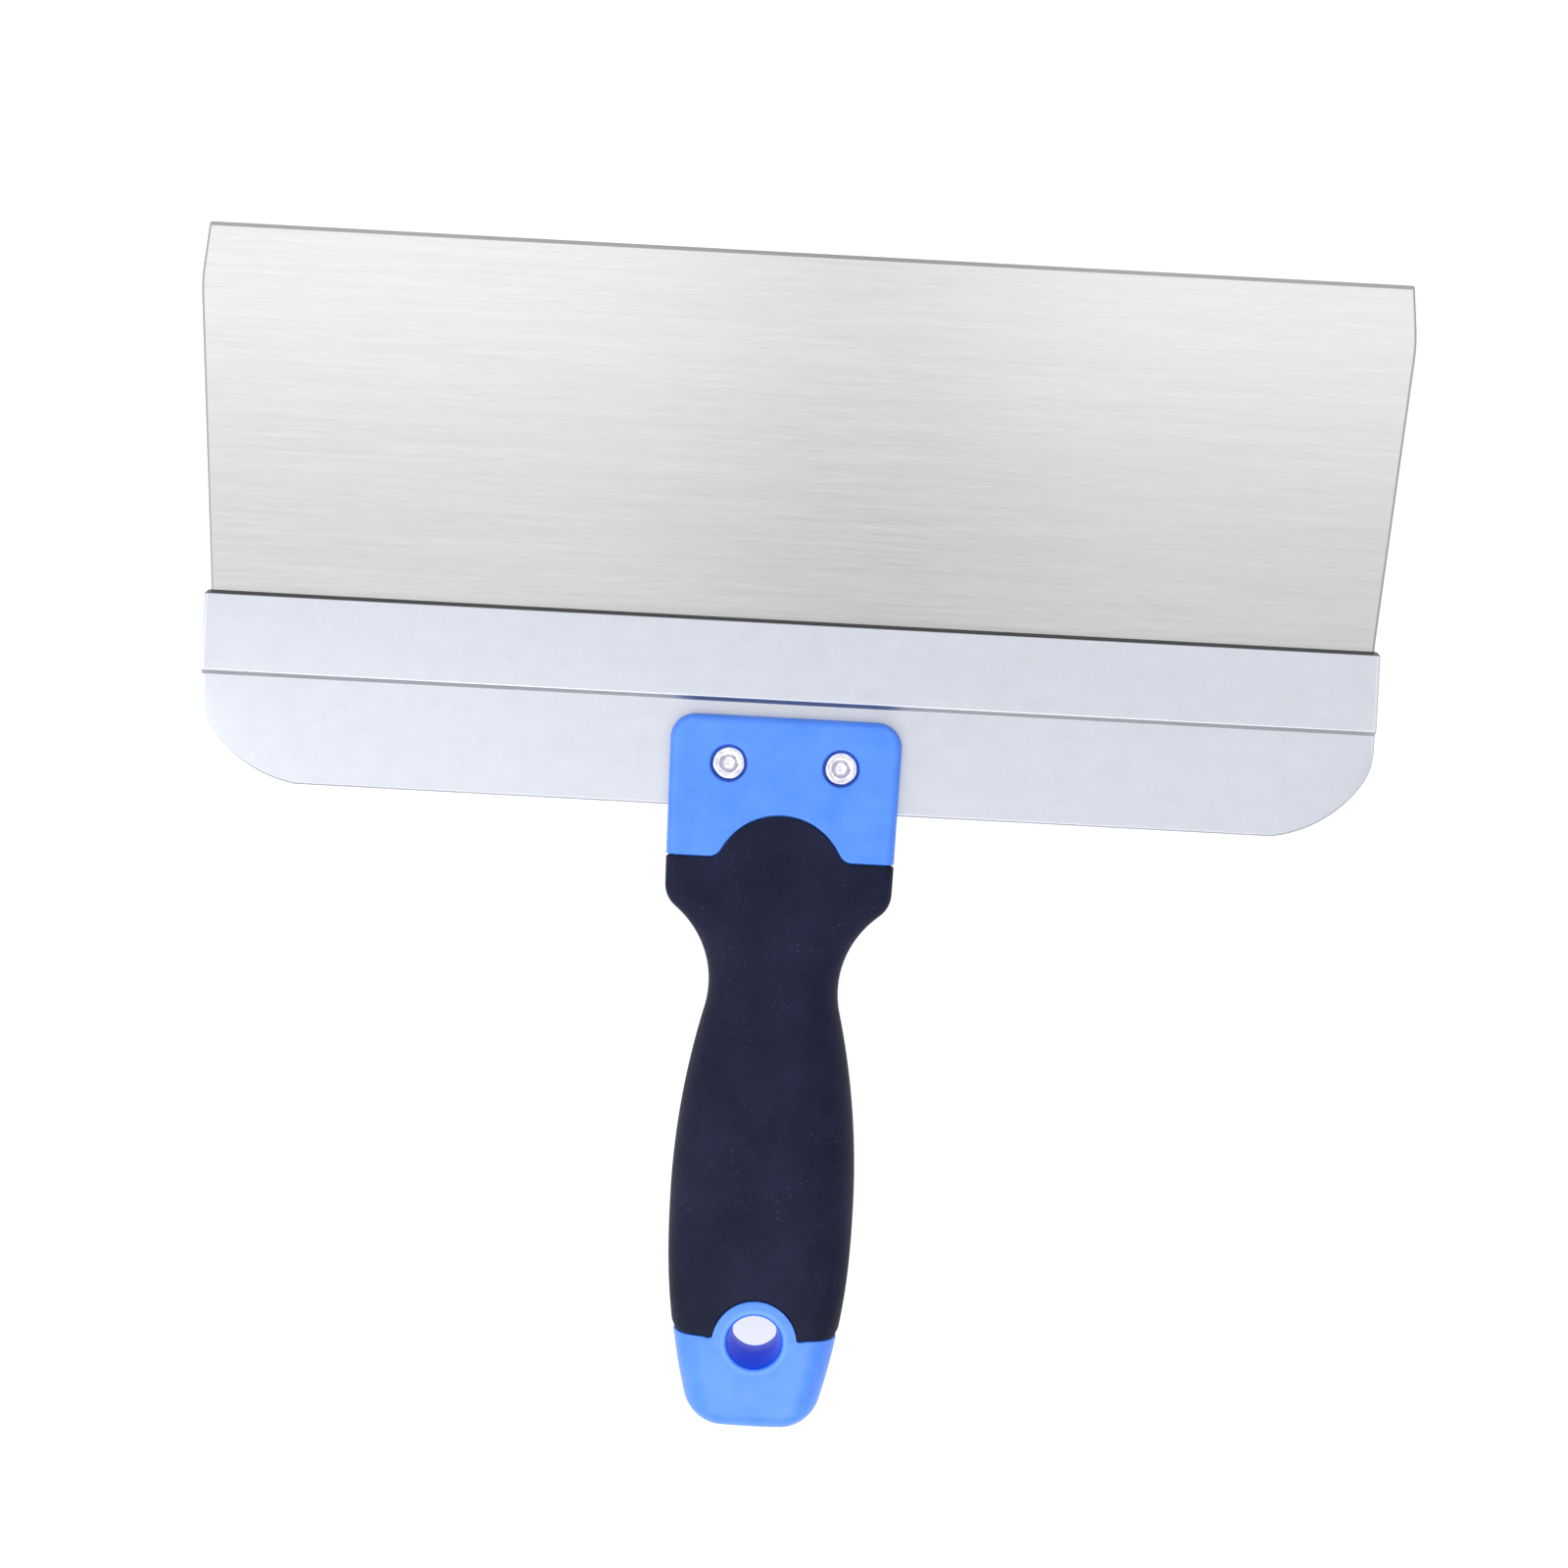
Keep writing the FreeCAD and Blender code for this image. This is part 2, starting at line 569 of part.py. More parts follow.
def make_grip_zone():
    # The space that the soft grip fills: everything between the seams except the core's tab round
    # the hanging hole, and a shallow tongue into each face of the head.
    wide = f"(Sizes.headWidth + {2 * PAST})"
    between_seams = make_box(
        "between_seams", f"-{wide} / 2", REAR_SEAM_Y, f"{-TALL}",
        wide, f"{HEAD_FRONT} - Sizes.frontSeam - {REAR_SEAM_Y}", f"{2 * TALL}")
    tab = make_cylinder("tab_zone", "0", HOLE_Y, f"{-TALL}",
                        "Sizes.holeRadius + Sizes.tabWall", f"{2 * TALL}")
    sleeve = cut("sleeve_zone", between_seams, tab)

    body = new_body("tongue_prism")
    outline = new_sketch(body, "XY_Plane", "tongue_outline")
    seam = f"{HEAD_FRONT} - Sizes.frontSeam"
    reach = "(Sizes.tongueRadius + Sizes.tongueBlend)"
    below = "(Sizes.tongueRadius - Sizes.tongueHeight)"
    blend_x = f"sqrt({reach}^2 - ({below} + Sizes.tongueBlend)^2)"
    meet_x = f"({blend_x} * Sizes.tongueRadius / {reach})"
    meet_y = (f"({seam} - {below} + ({below} + Sizes.tongueBlend)"
              f" * Sizes.tongueRadius / {reach})")
    draw_outline(outline, [
        (blend_x, seam, "-Sizes.tongueBlend"),
        (meet_x, meet_y, "Sizes.tongueRadius"),
        ("0", f"{seam} + Sizes.tongueHeight", "Sizes.tongueRadius"),
        ("-" + meet_x, meet_y, "-Sizes.tongueBlend"),
        ("-" + blend_x, seam, ""),
    ])
    prism = body.newObject("PartDesign::Pad", "tongue_pad")
    prism.Profile = outline
    prism.SideType = "Symmetric"
    prism.Length = 2 * TALL
    floor = "(Sizes.headThickness / 2 - Sizes.tongueDepth)"
    middle = make_box("tongue_floor", f"-{wide} / 2", f"{seam} - {PAST}", f"-{floor}",
                      wide, f"Sizes.tongueHeight + {2 * PAST}", f"2 * {floor}")
    tongues = cut("tongue_zone", body, middle)
    return combine("Part::MultiFuse", "grip_zone", [sleeve, tongues])


# ---------------------------------------------------------------- grip and core

def make_hole_cutter():
    # Hourglass hole: a straight land at the waist and a cone to each face.
    land = make_cylinder("hole_land", "0", HOLE_Y, "-Sizes.holeLand / 2",
                         "Sizes.holeRadius", "Sizes.holeLand")
    pieces = [land]
    for name, turn in (("upper_hole_cone", 0), ("lower_hole_cone", 180)):
        cone = doc.addObject("Part::Cone", name)
        cone.Placement.Rotation = FreeCAD.Rotation(FreeCAD.Vector(1, 0, 0), turn)
        side = "" if turn == 0 else "-"
        cone.setExpression("Placement.Base.y", HOLE_Y)
        cone.setExpression("Placement.Base.z", side + "Sizes.holeLand / 2")
        cone.setExpression("Radius1", "Sizes.holeRadius")
        # The cone runs on past the mouth at the same slope.
        cone.setExpression("Radius2", "Sizes.holeRadius + Sizes.bellyThickness"
                                      " * Sizes.holeFlare / Sizes.holeFlareHeight")
        cone.setExpression("Height", "Sizes.bellyThickness")
        pieces.append(cone)
    return combine("Part::MultiFuse", "hole_cutter", pieces)


def make_head_cutters():
    # The fork's slot for the rail's flange, and a counterbored hole for each rivet.
    slot = make_box(
        "fork_slot", f"-(Sizes.headWidth / 2 + {PAST})", f"-{RAIL_DEPTH}",
        "-Sizes.railFlangeThickness / 2", f"Sizes.headWidth + {2 * PAST}",
        f"{RAIL_DEPTH} + ({HEAD_FRONT}) + {PAST}", "Sizes.railFlangeThickness")
    pieces = [slot]
    counterbore_radius = f"{RIVET_HEAD_RADIUS} + Sizes.counterboreGap"
    for name, side in (("right", ""), ("left", "-")):
        x_place = side + "Sizes.rivetSpacing / 2"
        pieces.append(make_cylinder(f"{name}_rivet_hole", x_place, RIVET_Y, f"{-TALL}",
                                    "Sizes.rivetShankRadius", f"{2 * TALL}"))
        pieces.append(make_cylinder(f"{name}_front_counterbore", x_place, RIVET_Y,
                                    FLOOR_OF_COUNTERBORE, counterbore_radius, f"{TALL}"))
        pieces.append(make_cylinder(f"{name}_back_counterbore", x_place, RIVET_Y,
                                    f"-{FLOOR_OF_COUNTERBORE} - {TALL}",
                                    counterbore_radius, f"{TALL}"))
    return combine("Part::MultiFuse", "head_cutter", pieces)


def make_grip(form, zone, spine):
    sleeve = combine("Part::MultiCommon", "grip_outside", [form, zone])
    grip = cut("grip_overmould", sleeve, spine)
    return shift_into_frame(grip, "grip_overmould")


def make_core(form, zone, spine):
    ends = cut("core_ends", form, zone)
    blank = combine("Part::MultiFuse", "core_blank", [ends, spine])
    drilled = cut("core_with_hole", blank, make_hole_cutter())
    core = cut("handle_core", drilled, make_head_cutters())
    return shift_into_frame(core, "handle_core")


# ---------------------------------------------------------------- rivets

def make_rivet(name, side):
    # Semi-tubular rivet: a domed factory head at the back, a shank, and a clinch rolled outwards
    # round its open mouth at the front.
    body = new_body(name)
    profile = new_sketch(body, "XZ_Plane", name + "_profile")
    floor = FLOOR_OF_COUNTERBORE
    clinch_radius = "(Sizes.rivetShankRadius + Sizes.rivetClinchOverhang)"
    mouth_radius = "(Sizes.rivetShankRadius - Sizes.rivetMouthInset)"
    bore_radius = "(Sizes.rivetShankRadius - Sizes.rivetWall)"
    roll = f"(({clinch_radius} - {mouth_radius}) / 2)"
    roll_centre = f"({mouth_radius} + {roll})"
    roll_base = f"({floor} + Sizes.rivetClinchHeight - {roll})"
    dome_rise = "(Sizes.rivetHeadHeight - Sizes.rivetHeadEdge)"
    dome_radius = f"(({RIVET_HEAD_RADIUS}^2 + {dome_rise}^2) / (2 * {dome_rise}))"
    # The bore flares to the mouth, and ends in a shallow drill point.
    flare = f"{mouth_radius} / 2"
    drill_point = f"{bore_radius} / 3"
    draw_outline(profile, [
        ("0", f"-({floor} + Sizes.rivetHeadHeight)", dome_radius),
        (RIVET_HEAD_RADIUS, f"-({floor} + Sizes.rivetHeadEdge)", ""),
        (RIVET_HEAD_RADIUS, f"-{floor}", ""),
        ("Sizes.rivetShankRadius", f"-{floor}", ""),
        ("Sizes.rivetShankRadius", floor, ""),
        (clinch_radius, floor, ""),
        (clinch_radius, roll_base, roll),
        (roll_centre, f"{floor} + Sizes.rivetClinchHeight", roll),
        (mouth_radius, roll_base, ""),
        (bore_radius, f"{floor} - {flare}", ""),
        (bore_radius, f"{floor} - Sizes.rivetBoreDepth", ""),
        ("0", f"{floor} - Sizes.rivetBoreDepth - {drill_point}", ""),
    ])
    turned = body.newObject("PartDesign::Revolution", name + "_turned")
    turned.Profile = profile
    turned.ReferenceAxis = (profile, ["V_Axis"])
    turned.Angle = 360
    shift_into_frame(body, name)
    body.setExpression("Placement.Base.x", side + "Sizes.rivetSpacing / 2")
    body.setExpression("Placement.Base.y", f"{RIVET_Y} + {SHIFT_Y}")
    return body


# ---------------------------------------------------------------- assembly

def check_and_write(pieces):
    doc.recompute()
    for item in doc.Objects:
        if "Invalid" in item.State or "Error" in item.State:
            raise RuntimeError(f"{item.Name} did not build: {item.State}")
    os.makedirs("parts", exist_ok=True)
    for piece in pieces:
        shape = piece.Shape
        if shape.isNull() or not shape.isValid() or len(shape.Solids) != 1:
            raise RuntimeError(f"{piece.Label} is not one valid solid")
    for piece in pieces:
        piece.Shape.exportStep(f"parts/{piece.Label}.step")
        box = piece.Shape.BoundBox
        print(f"{piece.Label}: volume {piece.Shape.Volume:.1f} mm3, box "
              f"{box.XMin:.2f} {box.YMin:.2f} {box.ZMin:.2f} to "
              f"{box.XMax:.2f} {box.YMax:.2f} {box.ZMax:.2f}")


handle_form = make_form()
spine_form = make_spine()
grip_zone = make_grip_zone()
check_and_write([
    make_blade(),
    make_rail(),
    make_core(handle_form, grip_zone, spine_form),
    make_grip(handle_form, grip_zone, spine_form),
    make_rivet("rivet_left", "-"),
    make_rivet("rivet_right", ""),
])
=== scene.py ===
import bmesh
import bpy
import math
import numpy as np
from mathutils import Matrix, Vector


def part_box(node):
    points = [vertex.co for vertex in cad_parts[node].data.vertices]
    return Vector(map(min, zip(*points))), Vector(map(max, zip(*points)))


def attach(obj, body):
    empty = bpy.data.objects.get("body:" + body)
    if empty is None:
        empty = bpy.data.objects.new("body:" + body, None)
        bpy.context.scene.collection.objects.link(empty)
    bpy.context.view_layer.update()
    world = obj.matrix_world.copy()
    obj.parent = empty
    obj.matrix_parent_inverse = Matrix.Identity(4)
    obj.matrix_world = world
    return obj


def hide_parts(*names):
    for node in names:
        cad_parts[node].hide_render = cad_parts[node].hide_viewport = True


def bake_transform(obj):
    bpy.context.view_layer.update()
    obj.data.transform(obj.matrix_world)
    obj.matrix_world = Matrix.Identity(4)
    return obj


# Wide taping knife. Every shape is worked out in millimetres in the knife's own frame: x along the
# working edge, y = 0 at the rail's front lip and growing towards the working edge, z = 0 in the
# middle of the blade. place() turns that into the frame's metres.

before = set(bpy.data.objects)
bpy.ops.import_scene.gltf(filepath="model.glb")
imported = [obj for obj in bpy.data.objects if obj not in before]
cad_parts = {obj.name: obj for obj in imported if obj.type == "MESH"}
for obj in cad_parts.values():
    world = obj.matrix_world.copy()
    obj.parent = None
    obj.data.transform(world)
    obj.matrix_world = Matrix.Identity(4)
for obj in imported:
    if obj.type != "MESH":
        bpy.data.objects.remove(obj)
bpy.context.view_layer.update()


def boxInMillimetres(node):
    # Lowest and highest corner of a CAD node.
    low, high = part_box(node)
    return np.array(low) * 1000, np.array(high) * 1000


bladeLow, bladeHigh = boxInMillimetres("blade")
railLow, railHigh = boxInMillimetres("backing_rail")
coreLow, coreHigh = boxInMillimetres("handle_core")
gripLow, gripHigh = boxInMillimetres("grip_overmould")
rivetLow, rivetHigh = boxInMillimetres("rivet_right")

lipY = railHigh[1]
middleZ = (bladeLow[2] + bladeHigh[2]) / 2
headFrontY = coreHigh[1] - lipY
handleLength = coreHigh[1] - coreLow[1]
mergeDistance = 1e-7  # metres


def place(points):
    # Millimetres in the knife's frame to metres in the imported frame.
    return (np.asarray(points, float) + np.array([0.0, lipY, middleZ])) / 1000


def smoothStep(value, start, end):
    # Rises from 0 at start to 1 at end along 3t^2 - 2t^3.
    share = np.clip((value - start) / (end - start), 0, 1)
    return share * share * (3 - 2 * share)


def roundedOff(distance, radius):
    # How far a quarter circle has fallen away at this distance from the end that it rounds.
    along = np.clip(radius - distance, 0, radius)
    return radius - np.sqrt(np.maximum(radius * radius - along * along, 0))


def gridFaces(rows, columns, wrapRows, wrapColumns):
    # Quads between neighbouring rows and columns of a grid, as index arrays.
    row = np.arange(rows if wrapRows else rows - 1)[:, None]
    column = np.arange(columns if wrapColumns else columns - 1)[None, :]
    nextRow = (row + 1) % rows
    nextColumn = (column + 1) % columns
    corners = [row * columns + column, row * columns + nextColumn,
               nextRow * columns + nextColumn, nextRow * columns + column]
    return np.stack(corners, axis=-1).reshape(-1, 4)


def surfacePiece(name, points, wrapRows=False, wrapColumns=True, capEnds=False, values=None):
    # A grid of points, rows by columns by 3, as a closed mesh. Each entry of values is the name
    # of an attribute and its number at each point.
    rows, columns = points.shape[:2]
    faces = gridFaces(rows, columns, wrapRows, wrapColumns).tolist()
    if capEnds:
        faces.append(list(range(columns)))
        faces.append(list(range((rows - 1) * columns, rows * columns)))
    mesh = bpy.data.meshes.new(name)
    mesh.from_pydata(place(points).reshape(-1, 3).tolist(), [], faces)
    for attributeName, numbers in (values or {}).items():
        attribute = mesh.attributes.new(attributeName, "FLOAT", "POINT")
        attribute.data.foreach_set("value", np.asarray(numbers, float).ravel())
    closeMesh(mesh)
    piece = bpy.data.objects.new(name, mesh)
    bpy.context.scene.collection.objects.link(piece)
    return piece


def closeMesh(mesh):
    # Merge the points that fall together at seams and poles, then turn all faces outwards.
    work = bmesh.new()
    work.from_mesh(mesh)
    bmesh.ops.remove_doubles(work, verts=work.verts, dist=mergeDistance)
    bmesh.ops.dissolve_degenerate(work, edges=work.edges, dist=mergeDistance / 2)
    bmesh.ops.recalc_face_normals(work, faces=work.faces)
    work.to_mesh(mesh)
    work.free()


def shadeByAngle(piece, degrees):
    # Smooth shading, broken at the edges that turn by more than this angle.
    work = bmesh.new()
    work.from_mesh(piece.data)
    limit = math.radians(degrees)
    for face in work.faces:
        face.smooth = True
    for edge in work.edges:
        edge.smooth = len(edge.link_faces) == 2 and edge.calc_face_angle(0) < limit
    work.to_mesh(piece.data)
    work.free()


def carve(piece, cutters):
    # Cut the cutters out of the piece and remove them.
    for cutter in cutters:
        step = piece.modifiers.new("cut", "BOOLEAN")
        step.operation = "DIFFERENCE"
        step.solver = "EXACT"
        step.object = cutter
    bpy.context.view_layer.update()
    graph = bpy.context.evaluated_depsgraph_get()
    carved = bpy.data.meshes.new_from_object(piece.evaluated_get(graph))
    piece.modifiers.clear()
    old = piece.data
    piece.data = carved
    closeMesh(carved)
    bpy.data.meshes.remove(old)
    for cutter in cutters:
        bpy.data.objects.remove(cutter)


def fullTurn(segments):
    # Even angles once round, in radians.
    return np.arange(segments) / segments * 2 * math.pi


def turned(name, x, y, profile, segments):
    # A profile of radius and height turned round the vertical line at x, y.
    radius, height = np.array(profile, float).T
    angle = fullTurn(segments)
    points = np.stack([x + radius[:, None] * np.cos(angle),
                       y + radius[:, None] * np.sin(angle),
                       height[:, None] + 0 * angle], axis=-1)
    return surfacePiece(name, points)


def arcPoints(centre, radii, startDegrees, endDegrees, count):
    # Points on an ellipse about centre, from one angle to the other.
    angle = np.radians(np.linspace(startDegrees, endDegrees, count))
    return np.stack([centre[0] + radii[0] * np.cos(angle), centre[1] + radii[1] * np.sin(angle)],
                    axis=-1).tolist()


def newMaterial(name):
    # A new material with its nodes, its links and its main shader.
    material = bpy.data.materials.new(name)
    material.use_nodes = True
    nodes = material.node_tree.nodes
    return material, nodes, material.node_tree.links, nodes["Principled BSDF"]


def objectCoordinates(nodes, links, scale):
    # Object coordinates stretched by scale, in pattern units a metre.
    source = nodes.new("ShaderNodeTexCoord")
    mapping = nodes.new("ShaderNodeMapping")
    mapping.inputs["Scale"].default_value = scale
    links.new(source.outputs["Object"], mapping.inputs["Vector"])
    return mapping.outputs["Vector"]


def noiseValue(nodes, links, scale, detail=2.0, roughness=0.5):
    # Noise stretched by scale along x, y and z.
    noise = nodes.new("ShaderNodeTexNoise")
    noise.inputs["Scale"].default_value = 1.0
    noise.inputs["Detail"].default_value = detail
    noise.inputs["Roughness"].default_value = roughness
    links.new(objectCoordinates(nodes, links, scale), noise.inputs["Vector"])
    return noise.outputs["Fac"]


def speckValue(nodes, links, scale, size):
    # One where a random cell's middle is nearer than size, else zero, with a soft rim.
    cells = nodes.new("ShaderNodeTexVoronoi")
    cells.inputs["Scale"].default_value = 1.0
    links.new(objectCoordinates(nodes, links, (scale, scale, scale)), cells.inputs["Vector"])
    return remap(nodes, links, cells.outputs["Distance"], size, size * 0.6, 0.0, 1.0)


def remap(nodes, links, value, fromLow, fromHigh, toLow, toHigh):
    # A straight line from the first span to the second, held level past its ends.
    step = nodes.new("ShaderNodeMapRange")
    step.inputs["From Min"].default_value = fromLow
    step.inputs["From Max"].default_value = fromHigh
    step.inputs["To Min"].default_value = toLow
    step.inputs["To Max"].default_value = toHigh
    links.new(value, step.inputs["Value"])
    return step.outputs["Result"]


def calculate(nodes, links, operation, first, second):
    # One Math node. Either side may be a number or another node's output.
    step = nodes.new("ShaderNodeMath")
    step.operation = operation
    for socket, value in zip(step.inputs, (first, second)):
        if isinstance(value, (int, float)):
            socket.default_value = value
        else:
            links.new(value, socket)
    return step.outputs["Value"]


def mixColours(nodes, links, share, first, second):
    # Share 0 gives the first colour, share 1 the second. Either may be another node's output.
    mix = nodes.new("ShaderNodeMix")
    mix.data_type = "RGBA"
    links.new(share, mix.inputs["Factor"])
    for socket, colour in ((mix.inputs[6], first), (mix.inputs[7], second)):
        if isinstance(colour, tuple):
            socket.default_value = (*colour, 1.0)
        else:
            links.new(colour, socket)
    return mix.outputs[2]


def weightedSum(nodes, links, *terms):
    # Every term's output times its weight, added up.
    total = None
    for value, weight in terms:
        part = calculate(nodes, links, "MULTIPLY", value, weight)
        total = part if total is None else calculate(nodes, links, "ADD", total, part)
    return total


def addBump(nodes, links, shader, height, distance):
    # Relief from a pattern of 0 to 1, distance metres high.
    bump = nodes.new("ShaderNodeBump")
    bump.inputs["Distance"].default_value = distance
    bump.inputs["Strength"].default_value = 1.0
    links.new(height, bump.inputs["Height"])
    links.new(bump.outputs["Normal"], shader.inputs["Normal"])


def finishLook(nodes, links, shader, look, base, roughness, pattern):
    # Its colour, its roughness, the look's plain settings and a bump that follows the pattern.
    links.new(base, shader.inputs["Base Color"])
    links.new(roughness, shader.inputs["Roughness"])
    for socket, value in look["settings"].items():
        shader.inputs[socket].default_value = value
    addBump(nodes, links, shader, pattern, look["bump"])


def attributeValue(nodes, name):
    # A number that surfacePiece stored at the mesh's points.
    source = nodes.new("ShaderNodeAttribute")
    source.attribute_name = name
    return source.outputs["Fac"]


# In the looks below a pair of colours is the pattern's low and high side, a triple of numbers is a
# pattern's repeats a metre along x, y and z, and a bump is its height in metres.
steelLook = {
    "dimNearRail": ((0.436, 0.436, 0.434), (0.506, 0.506, 0.504)),  # painted dimmer reflection, next to the rail
    "brightAtEdge": ((0.555, 0.555, 0.553), (0.635, 0.635, 0.633)),  # painted brighter reflection, at the working edge
    "ground": (0.31, 0.31, 0.31),  # the ground and sheared edges
    "fineScratches": (130, 4200, 60),
    "longScratches": (26, 1100, 60),
    "clouds": (7, 16, 9),
    "roughness": (0.30, 0.38),
    "cloudRoughness": (-0.02, 0.02),  # added to it by the clouds
    "settings": {"Metallic": 1.0, "Anisotropic": 0.6},
    "bump": 0.000006,
}


def brushedSteel():
    # Stainless sheet, ground along the working edge: short fine scratches in colour, gloss and
    # bump, highlights drawn out across them, and painted reflection brighter towards the working edge.
    material, nodes, links, shader = newMaterial("brushed_steel")
    fine = noiseValue(nodes, links, steelLook["fineScratches"], 3.0, 0.65)
    long = noiseValue(nodes, links, steelLook["longScratches"], 4.0, 0.7)
    clouds = noiseValue(nodes, links, steelLook["clouds"], 2.0)
    streaks = weightedSum(nodes, links, (fine, 0.5), (long, 0.5))
    share = remap(nodes, links, streaks, 0.36, 0.64, 0.0, 1.0)
    dimNearRail = mixColours(nodes, links, share, *steelLook["dimNearRail"])
    brightAtEdge = mixColours(nodes, links, share, *steelLook["brightAtEdge"])
    # Painted reflection: the colour brightens from the rail to the working edge.
    base = mixColours(nodes, links, attributeValue(nodes, "paintedLightRamp"), dimNearRail, brightAtEdge)
    base = mixColours(nodes, links, attributeValue(nodes, "wear"), base, steelLook["ground"])
    scratched = remap(nodes, links, streaks, 0.35, 0.65, *steelLook["roughness"])
    clouded = remap(nodes, links, clouds, 0.3, 0.7, *steelLook["cloudRoughness"])
    roughness = calculate(nodes, links, "ADD", scratched, clouded)
    finishLook(nodes, links, shader, steelLook, base, roughness, streaks)
    across = nodes.new("ShaderNodeCombineXYZ")
    across.inputs["Y"].default_value = 1.0
    links.new(across.outputs["Vector"], shader.inputs["Tangent"])
    return material


aluminiumLook = {
    "colours": ((0.50, 0.525, 0.58), (0.545, 0.57, 0.63)),
    # wear and painted highlight: paler colour for the steep faces and the ends
    "wornAndHighlit": (0.66, 0.68, 0.72),
    # painted shade: near-black colour for the nose, the step and the rear edge
    "paintedShade": (0.085, 0.085, 0.088),
    "dieLines": (6, 1100, 1100),
    "grain": (2400, 2400, 2400),
    "clouds": (260, 260, 260),
    "roughness": (0.37, 0.45),
    "settings": {"Metallic": 1.0},
    "bump": 0.000008,
}


def satinAluminium():
    # Anodised extrusion: bluish, satin, with a fine blotchy grain and hardly any die lines.
    material, nodes, links, shader = newMaterial("satin_aluminium")
    lines = noiseValue(nodes, links, aluminiumLook["dieLines"], 3.0, 0.55)
    grain = noiseValue(nodes, links, aluminiumLook["grain"], 3.0, 0.6)
    clouds = noiseValue(nodes, links, aluminiumLook["clouds"], 3.0, 0.6)
    pattern = weightedSum(nodes, links, (grain, 0.45), (clouds, 0.4), (lines, 0.15))
    share = remap(nodes, links, pattern, 0.36, 0.64, 0.0, 1.0)
    base = mixColours(nodes, links, share, *aluminiumLook["colours"])
    # Wear and painted highlight lighten the steep faces and the ends.
    base = mixColours(nodes, links, attributeValue(nodes, "wear"), base, aluminiumLook["wornAndHighlit"])
    # Painted shade darkens the nose, the step and the rear edge.
    base = mixColours(nodes, links, attributeValue(nodes, "paintedShade"), base, aluminiumLook["paintedShade"])
    roughness = remap(nodes, links, pattern, 0.3, 0.7, *aluminiumLook["roughness"])
    finishLook(nodes, links, shader, aluminiumLook, base, roughness, pattern)
    return material


plasticLook = {
    "colours": ((0.052, 0.205, 0.81), (0.084, 0.255, 0.87)),
    "paintedRimHighlight": (0.11, 0.29, 0.90),  # painted highlight: pale band round the hanging hole's rim
    "inside": (0.002, 0.10, 0.80),  # painted shade: deep blue on the hole's wall
    "holeShadeSpan": (0.0001, 0.0007),  # the painted shade fades out over these metres past the hole's mouth
    # where the painted highlight round the rim lies, past the hole's mouth
    "rimHighlightSpan": (0.0009, 0.0016),
    "clouds": (130, 130, 130),
    "texture": (3800, 3800, 3800),
    "roughness": (0.30, 0.42),
    "specular": (0.4, 0.05),  # outside the hole, and dimmed inside it with the painted shade
    "settings": {"IOR": 1.49, "Subsurface Weight": 0.05, "Subsurface Scale": 0.0015,
                 "Subsurface Radius": (0.15, 0.4, 1.0)},
    "bump": 0.00001,
}


def bluePlastic():
    # Moulded polypropylene: bright blue, semi-gloss, with the fine texture of a blasted tool.
    material, nodes, links, shader = newMaterial("blue_plastic")
    clouds = noiseValue(nodes, links, plasticLook["clouds"], 4.0, 0.65)
    texture = noiseValue(nodes, links, plasticLook["texture"], 2.0, 0.5)
    share = remap(nodes, links, clouds, 0.3, 0.7, 0.0, 1.0)
    # Distance from the hanging hole's axis: the wall inside gets a painted shade, deep blue with dimmed
    # gloss, and the rim round it gets a painted highlight.
    distance = nodes.new("ShaderNodeVectorMath")
    distance.operation = "DISTANCE"
    distance.inputs[1].default_value = (0, place([0, headFrontY - core["holePlace"], 0])[1], 0)
    links.new(objectCoordinates(nodes, links, (1, 1, 0)), distance.inputs[0])
    fromAxis = distance.outputs["Value"]
    mouth = core["holeMouth"] / 1000
    # Painted shade: deep blue inside the hole's mouth.
    start, end = plasticLook["holeShadeSpan"]
    inside = remap(nodes, links, fromAxis, mouth + start, mouth + end, 1, 0)
    # Painted highlight: a pale band just outside the hole's mouth.
    start, end = plasticLook["rimHighlightSpan"]
    paintedRimHighlight = remap(nodes, links, fromAxis, mouth + start, mouth + end, 1, 0)
    base = mixColours(nodes, links, share, *plasticLook["colours"])
    base = mixColours(nodes, links, paintedRimHighlight, base, plasticLook["paintedRimHighlight"])
    # Painted shade on the hole's wall, with its gloss dimmed.
    base = mixColours(nodes, links, inside, base, plasticLook["inside"])
    specular = remap(nodes, links, inside, 0, 1, *plasticLook["specular"])
    links.new(specular, shader.inputs["Specular IOR Level"])
    roughness = remap(nodes, links, texture, 0.3, 0.7, *plasticLook["roughness"])
    finishLook(nodes, links, shader, plasticLook, base, roughness, texture)
    return material


rubberLook = {
    "colours": ((0.0022, 0.0042, 0.016), (0.0095, 0.0125, 0.040)),
    "dust": (0.07, 0.085, 0.14),
    "dustRepeats": 1100.0,  # cells a metre, one speck in each
    "dustSize": 0.16,  # radius of a speck, as a share of its cell
    "dustPatches": (160, 160, 160),
    "dustStrength": 0.6,
    "pebbles": (2600, 2600, 2600),
    "clouds": (70, 70, 70),
    "roughness": (0.56, 0.72),
    "settings": {"IOR": 1.45, "Specular IOR Level": 0.16, "Sheen Weight": 0.02,
                 "Sheen Roughness": 0.5},
    "bump": 0.00003,
}


